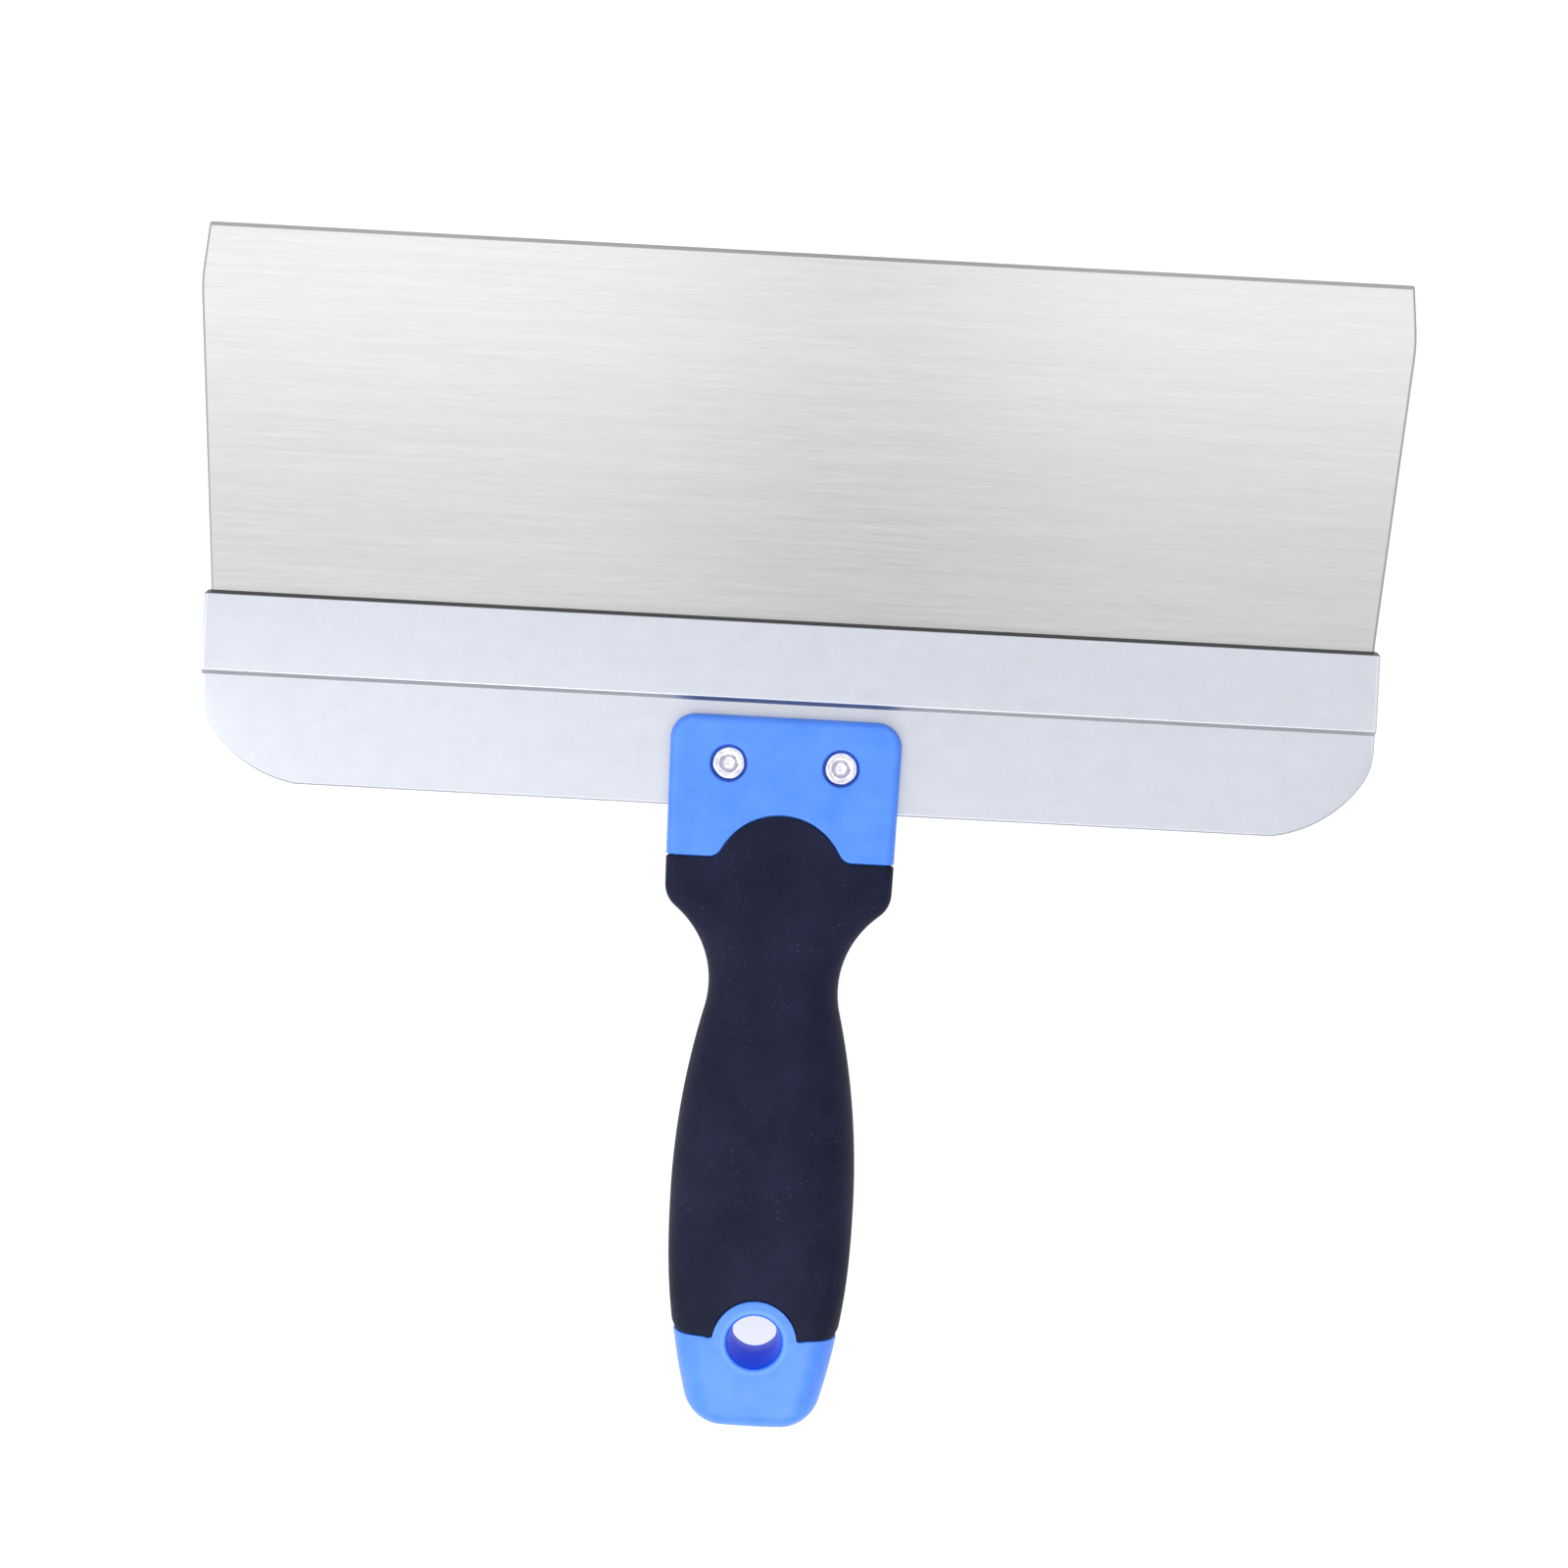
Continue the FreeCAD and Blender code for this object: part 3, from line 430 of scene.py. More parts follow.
def softRubber():
    # Thermoplastic rubber: near-black navy, matte, finely pebbled, with a little pale dust on it.
    material, nodes, links, shader = newMaterial("soft_rubber")
    pebbles = noiseValue(nodes, links, rubberLook["pebbles"], 3.0, 0.6)
    clouds = noiseValue(nodes, links, rubberLook["clouds"], 5.0, 0.7)
    pattern = weightedSum(nodes, links, (pebbles, 0.45), (clouds, 0.55))
    share = remap(nodes, links, pattern, 0.36, 0.64, 0.0, 1.0)
    base = mixColours(nodes, links, share, *rubberLook["colours"])
    dust = speckValue(nodes, links, rubberLook["dustRepeats"], rubberLook["dustSize"])
    patches = noiseValue(nodes, links, rubberLook["dustPatches"], 2.0)
    patches = remap(nodes, links, patches, 0.48, 0.62, 0.0, rubberLook["dustStrength"])
    dust = calculate(nodes, links, "MULTIPLY", dust, patches)
    base = mixColours(nodes, links, dust, base, rubberLook["dust"])
    roughness = remap(nodes, links, pebbles, 0.3, 0.7, *rubberLook["roughness"])
    finishLook(nodes, links, shader, rubberLook, base, roughness, pebbles)
    return material


nickelLook = {
    "colours": ((0.64, 0.63, 0.70), (0.76, 0.75, 0.82)),
    "marks": (900, 900, 900),
    "roughness": (0.14, 0.30),
    "settings": {"Metallic": 1.0},
    "bump": 0.000012,
}


def brightNickel():
    # Plated steel: bright, with the small marks of the setting tool.
    material, nodes, links, shader = newMaterial("bright_nickel")
    marks = noiseValue(nodes, links, nickelLook["marks"], 4.0, 0.6)
    share = remap(nodes, links, marks, 0.35, 0.65, 0.0, 1.0)
    base = mixColours(nodes, links, share, *nickelLook["colours"])
    roughness = remap(nodes, links, marks, 0.3, 0.7, *nickelLook["roughness"])
    finishLook(nodes, links, shader, nickelLook, base, roughness, marks)
    return material


def finishPiece(piece, material, body, slot, *nodeNames):
    # Its material, the CAD nodes that it stands for, and the body that carries it whole. The slot
    # argument is not used.
    piece.data.materials.clear()
    piece.data.materials.append(material)
    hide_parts(*nodeNames)
    if body:
        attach(piece, body)


blade = {
    "tail": bladeLow[1] - lipY,  # rear end, hidden in the rail
    "edge": bladeHigh[1] - lipY,  # working edge
    "halfEdge": 125.0,  # half the working edge
    "halfWidest": bladeHigh[0],  # widest place
    "widestSetback": 12.2,  # that place, behind the working edge
    "halfLip": 120.6,  # half-width in the rail
    "halfThickness": (bladeHigh[2] - bladeLow[2]) / 2,
    "soften": 3.0,  # length over which the outline's vertex is rounded
    "cornerRadius": 0.5,  # rounding of the working edge's corners
    "edgeBevel": (0.8, 0.12),  # ground bevel: along the sheet, through it
    "sideBevel": (0.55, 0.08),  # the same along the sheared sides
    "bevelBands": 3,  # bands of faces on each side bevel
    "beyond": 20.0,  # the outline runs on past the edge, for averaging
    "tailRows": 6,
    "rows": 72,
    "rowsEnd": 1.5,  # end of the even rows, before the working edge
    "edgeRows": (1.2, 0.95, 0.8, 0.6, 0.4, 0.3, 0.2, 0.12, 0.05, 0.0),
    "columns": 90,
}


def bladeHalfWidth(y):
    # Straight flare from the rail to the widest place, then straight in to the working edge.
    # The vertex between the two is rounded by averaging the outline over a short window.
    spots = [blade["tail"], 0.0, blade["edge"] - blade["widestSetback"], blade["edge"] + blade["beyond"]]
    inward = (blade["halfWidest"] - blade["halfEdge"]) / blade["widestSetback"]
    widths = [blade["halfLip"], blade["halfLip"], blade["halfWidest"],
              blade["halfWidest"] - inward * (blade["widestSetback"] + blade["beyond"])]
    window = np.linspace(-1, 1, 15) * blade["soften"]
    outline = np.interp(y[:, None] + window[None, :], spots, widths).mean(axis=1)
    return outline - roundedOff(blade["edge"] - y, blade["cornerRadius"])


def makeBlade():
    # Across the sheet: flat middle, then a bevel down to each sheared side.
    edge = blade["edge"]
    rowY = np.concatenate([np.linspace(blade["tail"], -0.5, blade["tailRows"]),
                           np.linspace(0.0, edge - blade["rowsEnd"], blade["rows"]),
                           edge - np.array(blade["edgeRows"])])
    halfWidth = bladeHalfWidth(rowY)
    bevelWidth, bevelDepth = blade["sideBevel"]
    inner = np.linspace(-1, 1, blade["columns"])
    bands = np.linspace(0, 1, blade["bevelBands"] + 1)[1:]
    across = np.concatenate([-bands[::-1], 0 * inner, bands])
    flat = np.concatenate([-np.ones(len(bands)), inner, np.ones(len(bands))])
    x = flat * (halfWidth[:, None] - bevelWidth) + across * bevelWidth
    fall = bevelDepth * np.abs(across)[None, :]
    length, depth = blade["edgeBevel"]
    edgeFall = depth * np.clip((rowY - (edge - length)) / length, 0, 1)
    top = blade["halfThickness"] - np.maximum(fall, edgeFall[:, None])
    y = np.repeat(rowY[:, None], x.shape[1], axis=1)
    loop = np.concatenate([np.stack([x, y, top], -1), np.stack([x, y, -top], -1)[:, ::-1]], axis=1)
    ground = np.maximum(np.abs(across)[None, :] > 0, (edge - rowY < length)[:, None]) * 1.0
    wear = np.concatenate([ground, ground[:, ::-1]], axis=1)
    closed = np.concatenate([loop[:1] * [1, 1, 0], loop, loop[-1:] * [1, 1, 0]])
    wear = np.concatenate([wear[:1], wear, wear[-1:]])
    # Painted reflection ramp from the rail to the working edge.
    paintedLightRamp = smoothStep(closed[..., 1], 0, edge)
    return surfacePiece("blade_sheet", closed, values={"wear": wear, "paintedLightRamp": paintedLightRamp})


rail = {
    "halfLength": railHigh[0],
    "depth": railHigh[1] - railLow[1],
    "halfBand": (railHigh[2] - railLow[2]) / 2,  # half-thickness of the front band
    "bandDepth": 16.65,  # front band, front to back
    "stepDepth": 0.85,  # slanted step behind it
    "halfFlange": 1.5,  # half-thickness of the rear flange
    "noseSetback": 0.9,  # slope of the nose, front to back
    "slotHalf": 0.24,  # half-height of the blade's slot
    "slotDepth": 13.0,
    "cornerAlong": 20.25,  # rear corners in plan: along the rear edge,
    "cornerBack": 18.3,  # along the end,
    "cornerBlend": 12.1,  # the smaller radius next to the end,
    "cornerKink": math.radians(8.8),  # and the angle at the rear edge
    "lipRadius": 0.5,  # rounding of the nose's upper lip
    "stepRadius": 0.45,  # rounding of the band's rear edge
    "edgeRadius": 0.5,  # rounding of the rear edge
    "endRound": (0.7, 0.16),  # deburred ends: along the rail, into its faces
    "steep": 0.2,  # faces whose normal leans this much are worn and painted lighter as a highlight
    "rearFacing": -0.4,  # and beyond this lean backwards they get painted shade
    "wear": (0.35, 0.6),  # wear and painted highlight on steep faces, at the ends
    "paintedShade": (1.0, 0.3, 0.4),  # painted shade on the nose, the step and the rear edge
    "noseMargin": 0.02,
    "stepMargin": 0.1,
    "cornerSteps": 7,  # points on each rounded edge of the section
    "stations": (24, 26, 26),  # along half the rail: middle, large arc, blend
    "drill": 5.0,  # half-length of the cutters for the rivet holes
}


def roundedLoop(corners, count):
    # Closed outline through corners of x, y and radius, with each corner turned into an arc.
    # The arc starts and ends where it touches the two edges, radius / tan(half angle) from the
    # corner, and is swept between the two edges' normals.
    points = []
    spots = np.array([corner[:2] for corner in corners], float)
    for index, corner in enumerate(corners):
        radius = corner[2]
        here = spots[index]
        back = spots[index - 1] - here
        ahead = spots[(index + 1) % len(spots)] - here
        back /= np.linalg.norm(back)
        ahead /= np.linalg.norm(ahead)
        if radius == 0:
            points.append(here[None, :])
            continue
        half = math.acos(np.clip(back @ ahead, -1, 1)) / 2
        bisector = (back + ahead) / np.linalg.norm(back + ahead)
        centre = here + bisector * radius / math.sin(half)
        first = here + back * radius / math.tan(half) - centre
        last = here + ahead * radius / math.tan(half) - centre
        turn = math.atan2(first[0] * last[1] - first[1] * last[0], first @ last)
        angle = math.atan2(first[1], first[0]) + turn * np.linspace(0, 1, count)
        points.append(centre + radius * np.stack([np.cos(angle), np.sin(angle)], -1))
    return np.concatenate(points)


def outwardNormals(loop):
    # Mitred normals of a closed loop: the two edges' normals added and stretched to the mitre.
    ahead = np.roll(loop, -1, axis=0) - loop
    ahead /= np.linalg.norm(ahead, axis=1)[:, None]
    back = np.roll(ahead, 1, axis=0)
    normals = np.stack([ahead[:, 1], -ahead[:, 0]], -1) + np.stack([back[:, 1], -back[:, 0]], -1)
    length = np.sum(normals * normals, axis=1) / 2
    return normals / length[:, None]


def railCornerArc():
    # The large arc of a rear corner, from its slight angle at the rear edge to the smaller blend
    # arc beside the end. The two arcs' centres lie radius - blend apart, which gives the radius.
    # Returns the radius, its centre as x and depth, and the arc's first and last angle.
    back = rail["cornerBack"]
    blend = rail["cornerBlend"]
    kink = rail["cornerKink"]
    run = rail["cornerAlong"] - blend
    radius = ((run * run + back * back - blend * blend)
              / (2 * (back * math.cos(kink) - run * math.sin(kink) - blend)))
    centreX = rail["halfLength"] - rail["cornerAlong"] - radius * math.sin(kink)
    centreDepth = rail["depth"] - radius * math.cos(kink)
    meet = math.asin((rail["halfLength"] - blend - centreX) / (radius - blend))
    return radius, centreX, centreDepth, kink, meet


def railRearDepth(x):
    # Depth of the rail at x: full in the middle, then the large arc and the blend arc to the end.
    radius, centreX, centreDepth, first, last = railCornerArc()
    blend = rail["cornerBlend"]
    past = np.abs(x) - centreX
    large = centreDepth + np.sqrt(np.maximum(radius ** 2 - past ** 2, 0))
    fromCentre = np.abs(x) - rail["halfLength"] + blend
    small = rail["depth"] - rail["cornerBack"] + np.sqrt(np.maximum(blend ** 2 - fromCentre ** 2, 0))
    return np.select([past <= radius * math.sin(first), past <= radius * math.sin(last)],
                     [rail["depth"] + 0 * past, large], small)


def makeRail():
    # The section is drawn once with its rear edge at zero and carried along x.
    band = rail["halfBand"]
    flange = rail["halfFlange"]
    step = -(rail["bandDepth"] + rail["stepDepth"])
    half = [
        (-rail["slotDepth"], rail["slotHalf"], 0),
        (0.0, rail["slotHalf"], 0),
        (-rail["noseSetback"], band, rail["lipRadius"]),
        (-rail["bandDepth"], band, rail["stepRadius"]),
        (step, flange, rail["stepRadius"] / 2),
        (-rail["depth"], flange, rail["edgeRadius"]),
    ]
    corners = half + [(y, -z, radius) for y, z, radius in reversed(half)]
    section = roundedLoop(corners, rail["cornerSteps"])
    isRear = section[:, 0] < -rail["depth"] + 2 * rail["edgeRadius"]
    normals = outwardNormals(section)
    area = np.sum(section[:, 0] * np.roll(section[:, 1], -1)
                  - section[:, 1] * np.roll(section[:, 0], -1))
    normals *= math.copysign(1.0, area)

    # Stations along x follow the corner's two arcs by angle, so that they crowd near the ends.
    end = rail["halfLength"]
    radius, centreX, _, first, last = railCornerArc()
    blend = rail["cornerBlend"]
    middle, large, small = rail["stations"]
    largeAngle = np.linspace(first, last, large)
    smallAngle = np.linspace(last, math.pi / 2, small)
    stations = np.concatenate([np.linspace(0, centreX + radius * math.sin(first), middle)[:-1],
                               centreX + radius * np.sin(largeAngle)[:-1],
                               end - blend + blend * np.sin(smallAngle)])
    stations = np.concatenate([-stations[:0:-1], stations])
    along, into = rail["endRound"]
    inset = roundedOff(end - np.abs(stations), along) * into / along
    forward = (rail["depth"] - railRearDepth(stations))[:, None] * isRear
    y = section[:, 0] + forward - inset[:, None] * normals[:, 0]
    z = section[:, 1] - inset[:, None] * normals[:, 1]
    x = np.repeat(stations[:, None], len(section), axis=1)
    # Wear and a painted highlight on the steep faces and at the ends.
    steepWearAndHighlight, endWearAndHighlight = rail["wear"]
    wornAndHighlit = ((np.abs(normals[:, 0]) > rail["steep"]) & ~isRear)[None, :] * steepWearAndHighlight
    wear = np.maximum(wornAndHighlit, (inset[:, None] > 0) * endWearAndHighlight)
    # Painted shade on the nose, the step and the rear edge.
    margin = rail["stepMargin"]
    onNose = section[:, 0] > -rail["noseSetback"] - rail["noseMargin"]
    onStep = (section[:, 0] < -rail["bandDepth"] - margin) & (section[:, 0] > step - margin)
    onRearEdge = (normals[:, 0] < rail["rearFacing"]) & isRear
    paintedNoseShade, paintedStepShade, paintedRearShade = rail["paintedShade"]
    paintedShade = onNose * paintedNoseShade + onStep * paintedStepShade + onRearEdge * paintedRearShade
    paintedShade = paintedShade[None, :] + 0 * wear
    piece = surfacePiece("rail_extrusion", np.stack([x, y, z], -1), capEnds=True,
                         values={"wear": wear * (1 - paintedShade), "paintedShade": paintedShade})
    carve(piece, [shankCutter("rail_hole", side, rail["drill"]) for side in (1, -1)])
    return piece


def shankCutter(name, side, reach):
    # Cylinder of the shank's radius that reaches this far above and below the blade.
    outline = [(0, -reach), (rivet["shank"], -reach), (rivet["shank"], reach), (0, reach)]
    return turned(name, side * rivet["spread"], rivet["y"], outline, rivet["holeSegments"])


handle = {
    "headHalf": 23.85,  # half-width of the head at its front
    "headTaper": 0.6,  # how much each side comes in up to the shoulder
    "headThick": 6.2,  # half-thickness of its flat faces
    "headFlat": 14.0,  # length of those faces
    "headCorner": 5.3,  # plan radius of the head's front corners
    "headEdge": 2.0,  # rounding of the head's edges
    "shoulderRadius": 6.0,
    "neckRadius": 20.0,
    "neckHalf": 13.4,
    "neckPlace": 55.45,  # all places are behind the head's front
    "bellyHalf": 18.93,
    "bellyPlace": handleLength - 46.2,
    "bellyRear": 172.0,  # plan radius of the sides behind that place
    "backHalf": (gripHigh[2] - gripLow[2]) / 2,  # half-thickness of the back
    "backPlace": handleLength - 50.8,
    "backRadius": 250.0,
    "buttCorner": 5.5,  # plan radius of the butt's corners
    "buttEnd": 3.5,  # side-view rounding of the butt's end
    "buttEdge": 6.5,  # rounding of the butt's long edges
    "flatShare": 0.2,  # flat share of the grip's half-width
    "fullness": 0.9,  # corner height as a share of the half-thickness
    "frontSeam": 29.2,
    "rearSeam": handleLength - 19.9,
    "cornerShrink": 0.8,  # corners sharpen by this share of the end rounding
    "leastCorner": 0.35,
    "columns": 304,  # points round a section, a multiple of four
}


def handleHalfWidth(d):
    # Straight head side that comes in a little, convex shoulder, concave neck and a long belly arc
    # on each side of the widest place.
    shoulder = handle["shoulderRadius"]
    neck = handle["neckRadius"]
    neckCentre = handle["neckHalf"] + neck
    shoulderCentre = handle["headHalf"] - handle["headTaper"] - shoulder
    rise = neckCentre - shoulderCentre
    start = handle["neckPlace"] - math.sqrt((neck + shoulder) ** 2 - rise ** 2)
    shoulderEnd = start + (handle["neckPlace"] - start) * shoulder / (neck + shoulder)
    gap = neckCentre - handle["bellyHalf"]
    run = handle["bellyPlace"] - handle["neckPlace"]
    belly = (run * run + gap * gap - neck ** 2) / (2 * (neck - gap))
    neckEnd = handle["neckPlace"] + run * neck / (neck + belly)
    convex = shoulderCentre + np.sqrt(np.maximum(shoulder ** 2 - (d - start) ** 2, 0))
    concave = neckCentre - np.sqrt(np.maximum(neck ** 2 - (d - handle["neckPlace"]) ** 2, 0))
    belly = np.where(d > handle["bellyPlace"], handle["bellyRear"], belly)
    arc = handle["bellyHalf"] - belly + np.sqrt(belly ** 2 - (d - handle["bellyPlace"]) ** 2)
    return np.select([d <= start, d <= shoulderEnd, d <= neckEnd],
                     [handle["headHalf"] - handle["headTaper"] * d / start, convex, concave], arc)


def handleHalfThickness(d):
    # Flat head, then a long hollow arc and the back's convex arc, tangent to each other.
    run = handle["backPlace"] - handle["headFlat"]
    rise = handle["backHalf"] - handle["headThick"]
    bothRadii = (run * run + rise * rise) / (2 * rise)
    hollow = bothRadii - handle["backRadius"]
    hollowEnd = handle["headFlat"] + run * hollow / bothRadii
    past = np.clip(d - handle["headFlat"], 0, hollow)
    rising = handle["headThick"] + hollow - np.sqrt(hollow ** 2 - past ** 2)
    back = (handle["backHalf"] - handle["backRadius"]
            + np.sqrt(handle["backRadius"] ** 2 - (d - handle["backPlace"]) ** 2))
    return np.where(d <= hollowEnd, rising, back)


def handleSection(d, inset):
    # Half-width, half-thickness and the two corner radii of the rounded section at d. The corners
    # grow from the head's edge radius to a share of the whole section in the grip, and shrink
    # again to the butt's, along smooth steps. Quarter circles round off both ends.
    halfWidth = handleHalfWidth(d) - inset
    halfThickness = handleHalfThickness(d) - inset
    toGrip = smoothStep(d, handle["frontSeam"], handle["neckPlace"])
    toButt = smoothStep(d, handle["bellyPlace"], handle["rearSeam"])
    edge = handle["headEdge"] + (handle["buttEdge"] - handle["headEdge"]) * toButt
    full = toGrip * (1 - toButt)
    cornerX = edge + ((1 - handle["flatShare"]) * halfWidth - edge) * full
    cornerZ = edge + (handle["fullness"] * halfThickness - edge) * full
    fromRear = handleLength - d
    sharper = roundedOff(d, edge) + roundedOff(fromRear, edge)
    halfWidth = halfWidth - roundedOff(d, handle["headCorner"])
    halfWidth = halfWidth - roundedOff(fromRear, handle["buttCorner"])
    halfThickness = halfThickness - roundedOff(d, handle["headEdge"])
    halfThickness = halfThickness - roundedOff(fromRear, handle["buttEnd"])
    smaller = np.maximum(inset, 0) + handle["cornerShrink"] * sharper
    cornerX = np.maximum(cornerX - smaller, handle["leastCorner"])
    cornerZ = np.maximum(cornerZ - smaller, handle["leastCorner"])
    return halfWidth, halfThickness, cornerX, cornerZ


def handlePoints(share, d, inset):
    # Points on the form: share goes once round the section, d back from the head's front.
    # Each quarter of the section is walked at even speed: up the straight side, round a quarter
    # ellipse and along the flat to the middle.
    halfWidth, halfThickness, cornerX, cornerZ = handleSection(d, inset)
    quarter = 1 - np.abs(1 - (4 * share) % 2)
    side = halfThickness - cornerZ
    flat = halfWidth - cornerX
    corner = math.pi / 2 * np.sqrt((cornerX ** 2 + cornerZ ** 2) / 2)
    walked = quarter * (side + corner + flat)
    angle = np.clip((walked - side) / corner, 0, 1) * math.pi / 2
    x = np.minimum(flat, side + corner + flat - walked) + cornerX * np.cos(angle)
    x = np.where(walked > side + corner, side + corner + flat - walked, x)
    z = np.minimum(walked, side) + cornerZ * np.sin(angle)
    signX = np.where((share > 0.25) & (share < 0.75), -1, 1)
    signZ = np.where(share > 0.5, -1, 1)
    return np.stack([x * signX, headFrontY - d + 0 * x, z * signZ], -1)


def faceHeight(x, d, inset):
    # Height of the form's upper face over x and d.
    halfWidth, halfThickness, cornerX, cornerZ = handleSection(d, inset)
    over = np.clip((np.abs(x) - (halfWidth - cornerX)) / cornerX, 0, 1)
    return halfThickness - cornerZ * (1 - np.sqrt(1 - over ** 2))


seam = {
    "tongueHeight": 9.0,  # the grip's tongue into the head
    "tongueRadius": 13.8,
    "tongueBlend": 3.0,
    "tabRadius": 8.75,  # the core's tab round the hanging hole
    "tabPlace": handleLength - 18.9,
    "tabBlend": 0.7,
    "droop": 0.3,  # the grip sags this much beside the tab,
    "droopPlace": 0.9,  # this far from it,
    "droopWidth": 0.8,  # in a bell of this width
    "gap": 0.3,  # open line between the two mouldings
    "lip": 0.3,  # rounding of both mouldings at the seams
    "sideLip": 1.7,  # the grip's rounding at its rear sides
    "sideStart": 0.93,  # where those start, as a share of the half-width
    "buttDrop": 0.12,  # the butt lies this much below the grip
    "wall": 2.45,  # depth of the grip in the core
    "tongueDepth": 1.5,
    "insideGap": 0.08,  # keeps the grip's inside clear of the core
    "spineStart": 4.0,  # full depth, behind the straight front seam
    "spineEnd": 1.0,  # and its end, before the rear seam
    "rounds": 4,  # passes that settle where a column meets a seam
}


def frontSeamPlace(x):
    # A circular tongue that meets the straight seam through two small blend arcs.
    radius = seam["tongueRadius"]
    blend = seam["tongueBlend"]
    below = radius - seam["tongueHeight"]
    centre = handle["frontSeam"] + below
    blendX = math.sqrt((radius + blend) ** 2 - (below + blend) ** 2)
    meetX = blendX * radius / (radius + blend)
    across = np.abs(x)
    tongue = centre - np.sqrt(np.maximum(radius ** 2 - across ** 2, 0))
    bend = handle["frontSeam"] - blend + np.sqrt(np.maximum(blend ** 2 - (blendX - across) ** 2, 0))
    return np.select([across <= meetX, across <= blendX], [tongue, bend],
                     handle["frontSeam"] + 0 * across)


def rearSeamPlace(x):
    # A round arch over the tab, and a straight seam that sags a little beside it.
    across = np.abs(x)
    radius = seam["tabRadius"]
    arch = seam["tabPlace"] - np.sqrt(np.maximum(radius ** 2 - across ** 2, 0))
    sag = seam["droop"] * np.exp(-((across - radius - seam["droopPlace"]) / seam["droopWidth"]) ** 2)
    straight = handle["rearSeam"] + sag
    # The lower of the two, with the corner between them rounded off.
    spread = seam["tabBlend"]
    mix = np.clip(0.5 + (straight - arch) / (2 * spread), 0, 1)
    outside = straight - spread * mix * (1 - mix)
    inside = straight + (arch - straight) * mix - spread * mix * (1 - mix)
    return np.where(across < radius, np.minimum(inside, straight), np.minimum(outside, straight))


def seamColumns():
    # Where each column of the section meets the two seams.
    share = np.arange(handle["columns"]) / handle["columns"]
    front = np.full_like(share, handle["frontSeam"])
    rear = np.full_like(share, handle["rearSeam"])
    for _ in range(seam["rounds"]):
        front = frontSeamPlace(handlePoints(share, front, 0)[:, 0])
        rear = rearSeamPlace(handlePoints(share, rear, 0)[:, 0])
    return share, front, rear


def rowsOf(share, places, insets):
    # One row of points for each pair of place and inset; both hold one number a column.
    d = np.array(places)
    inset = np.array([np.broadcast_to(item, share.shape) for item in insets])
    return handlePoints(share[None, :], d, inset)


def newRows(share):
    # Lists of places and insets with one number a column, a function that adds a row to them, and
    # one that adds an even run of rows from the last row to a new one.
    places, insets = [], []

    def add(place, inset):
        places.append(place + 0 * share)
        insets.append(inset + 0 * share)

    def run(count, place, inset):
        lastPlace, lastInset = places[-1], insets[-1]
        for step in np.linspace(0, 1, count)[1:]:
            add(lastPlace + (place - lastPlace) * step, lastInset + (inset - lastInset) * step)

    return places, insets, add, run


core = {
    "slotHalf": 1.52,  # half-height of the fork's slot
    "counterbore": 3.8,
    "counterboreRim": 0.35,  # worn rim of the counterbores
    "holeWaist": 4.55,
    "holeLand": 1.5,  # half-length of the hole's straight waist
    "holeMouth": 5.5,  # radius where the rounded rim starts
    "holeRim": (0.95, 0.75),  # rounded rim: outwards, down the hole
    "holePlace": handleLength - 18.9,
    "holeClear": (0.1, 0.3),  # the hole's cutter, out past the rim
    "holeAbove": (0.05, 1.5, 1.5),  # and above it
    "slotReach": 5.0,  # the slot's cutter, past the head's front
    "slotWidth": 40.0,  # and to each side
    "floorRound": 0.15,  # corner of the counterbore's floor
    "pocketClear": 0.2,  # the pockets' cutters, past the rim
    "pocketAbove": 2.0,  # and above the face
    "pocketSegments": 64,
    "drill": 9.0,  # half-length of the cutters for the shanks
    "crown": 0.8,  # the butt's end recedes this much at its sides,
    "crownHalf": 17.0,  # this far from the middle,
    "crownLength": 14.0,  # over this length
    "capRings": 6,  # rings on each end face
    "rows": (12, 8, 40, 60, 30, 18),  # nose, its corners, head, spine, butt, its end
}


def makeCore():
    # Head, front lip, hidden spine, rear lip and butt as one closed skin. The two end faces are
    # rings that shrink to their middles.
    share, front, rear = seamColumns()
    gap = seam["gap"] / 2
    lip = seam["lip"]
    drop = seam["buttDrop"]
    wall = seam["wall"]
    quarter = np.linspace(0, math.pi / 2, 6)
    places, insets, add, run = newRows(share)
    edge = handle["headEdge"]
    noseRows, cornerRows, headRows, spineRows, buttRows, endRows = core["rows"]
    for angle in np.linspace(0, math.pi / 2, noseRows):
        add(edge * (1 - math.cos(angle)), 0)
    run(cornerRows, handle["headCorner"], 0)
    run(headRows, front - gap - lip, 0)
    for angle in quarter[1:]:
        add(front - gap - lip + lip * math.sin(angle), lip * (1 - math.cos(angle)))
    run(6, front - gap, seam["tongueDepth"])
    run(6, handle["frontSeam"] + seam["spineStart"], wall)
    run(spineRows, rear - seam["spineEnd"], wall)
    run(6, rear + gap, wall)
    run(6, rear + gap, drop + lip)
    for angle in quarter[1:]:
        add(rear + gap + lip * (1 - math.cos(angle)), drop + lip * (1 - math.sin(angle)))
    run(buttRows, handleLength - handle["buttCorner"], drop)
    for angle in np.linspace(0, math.pi / 2, endRows)[1:]:
        add(handleLength - handle["buttCorner"] * (1 - math.sin(angle)), drop)
    skin = rowsOf(share, places, insets)
    shrink = np.linspace(0, 1, core["capRings"] + 1)[:-1, None, None] * [1, 0, 1] + [0, 1, 0]
    skin = np.concatenate([skin[:1] * shrink, skin, skin[-1:] * shrink[::-1]])
    skin[..., 1] += buttCrown(skin)
    piece = surfacePiece("core_moulding", skin)
    carve(piece, [forkSlotCutter(), hangingHoleCutter()] + counterboreCutters())
    return piece


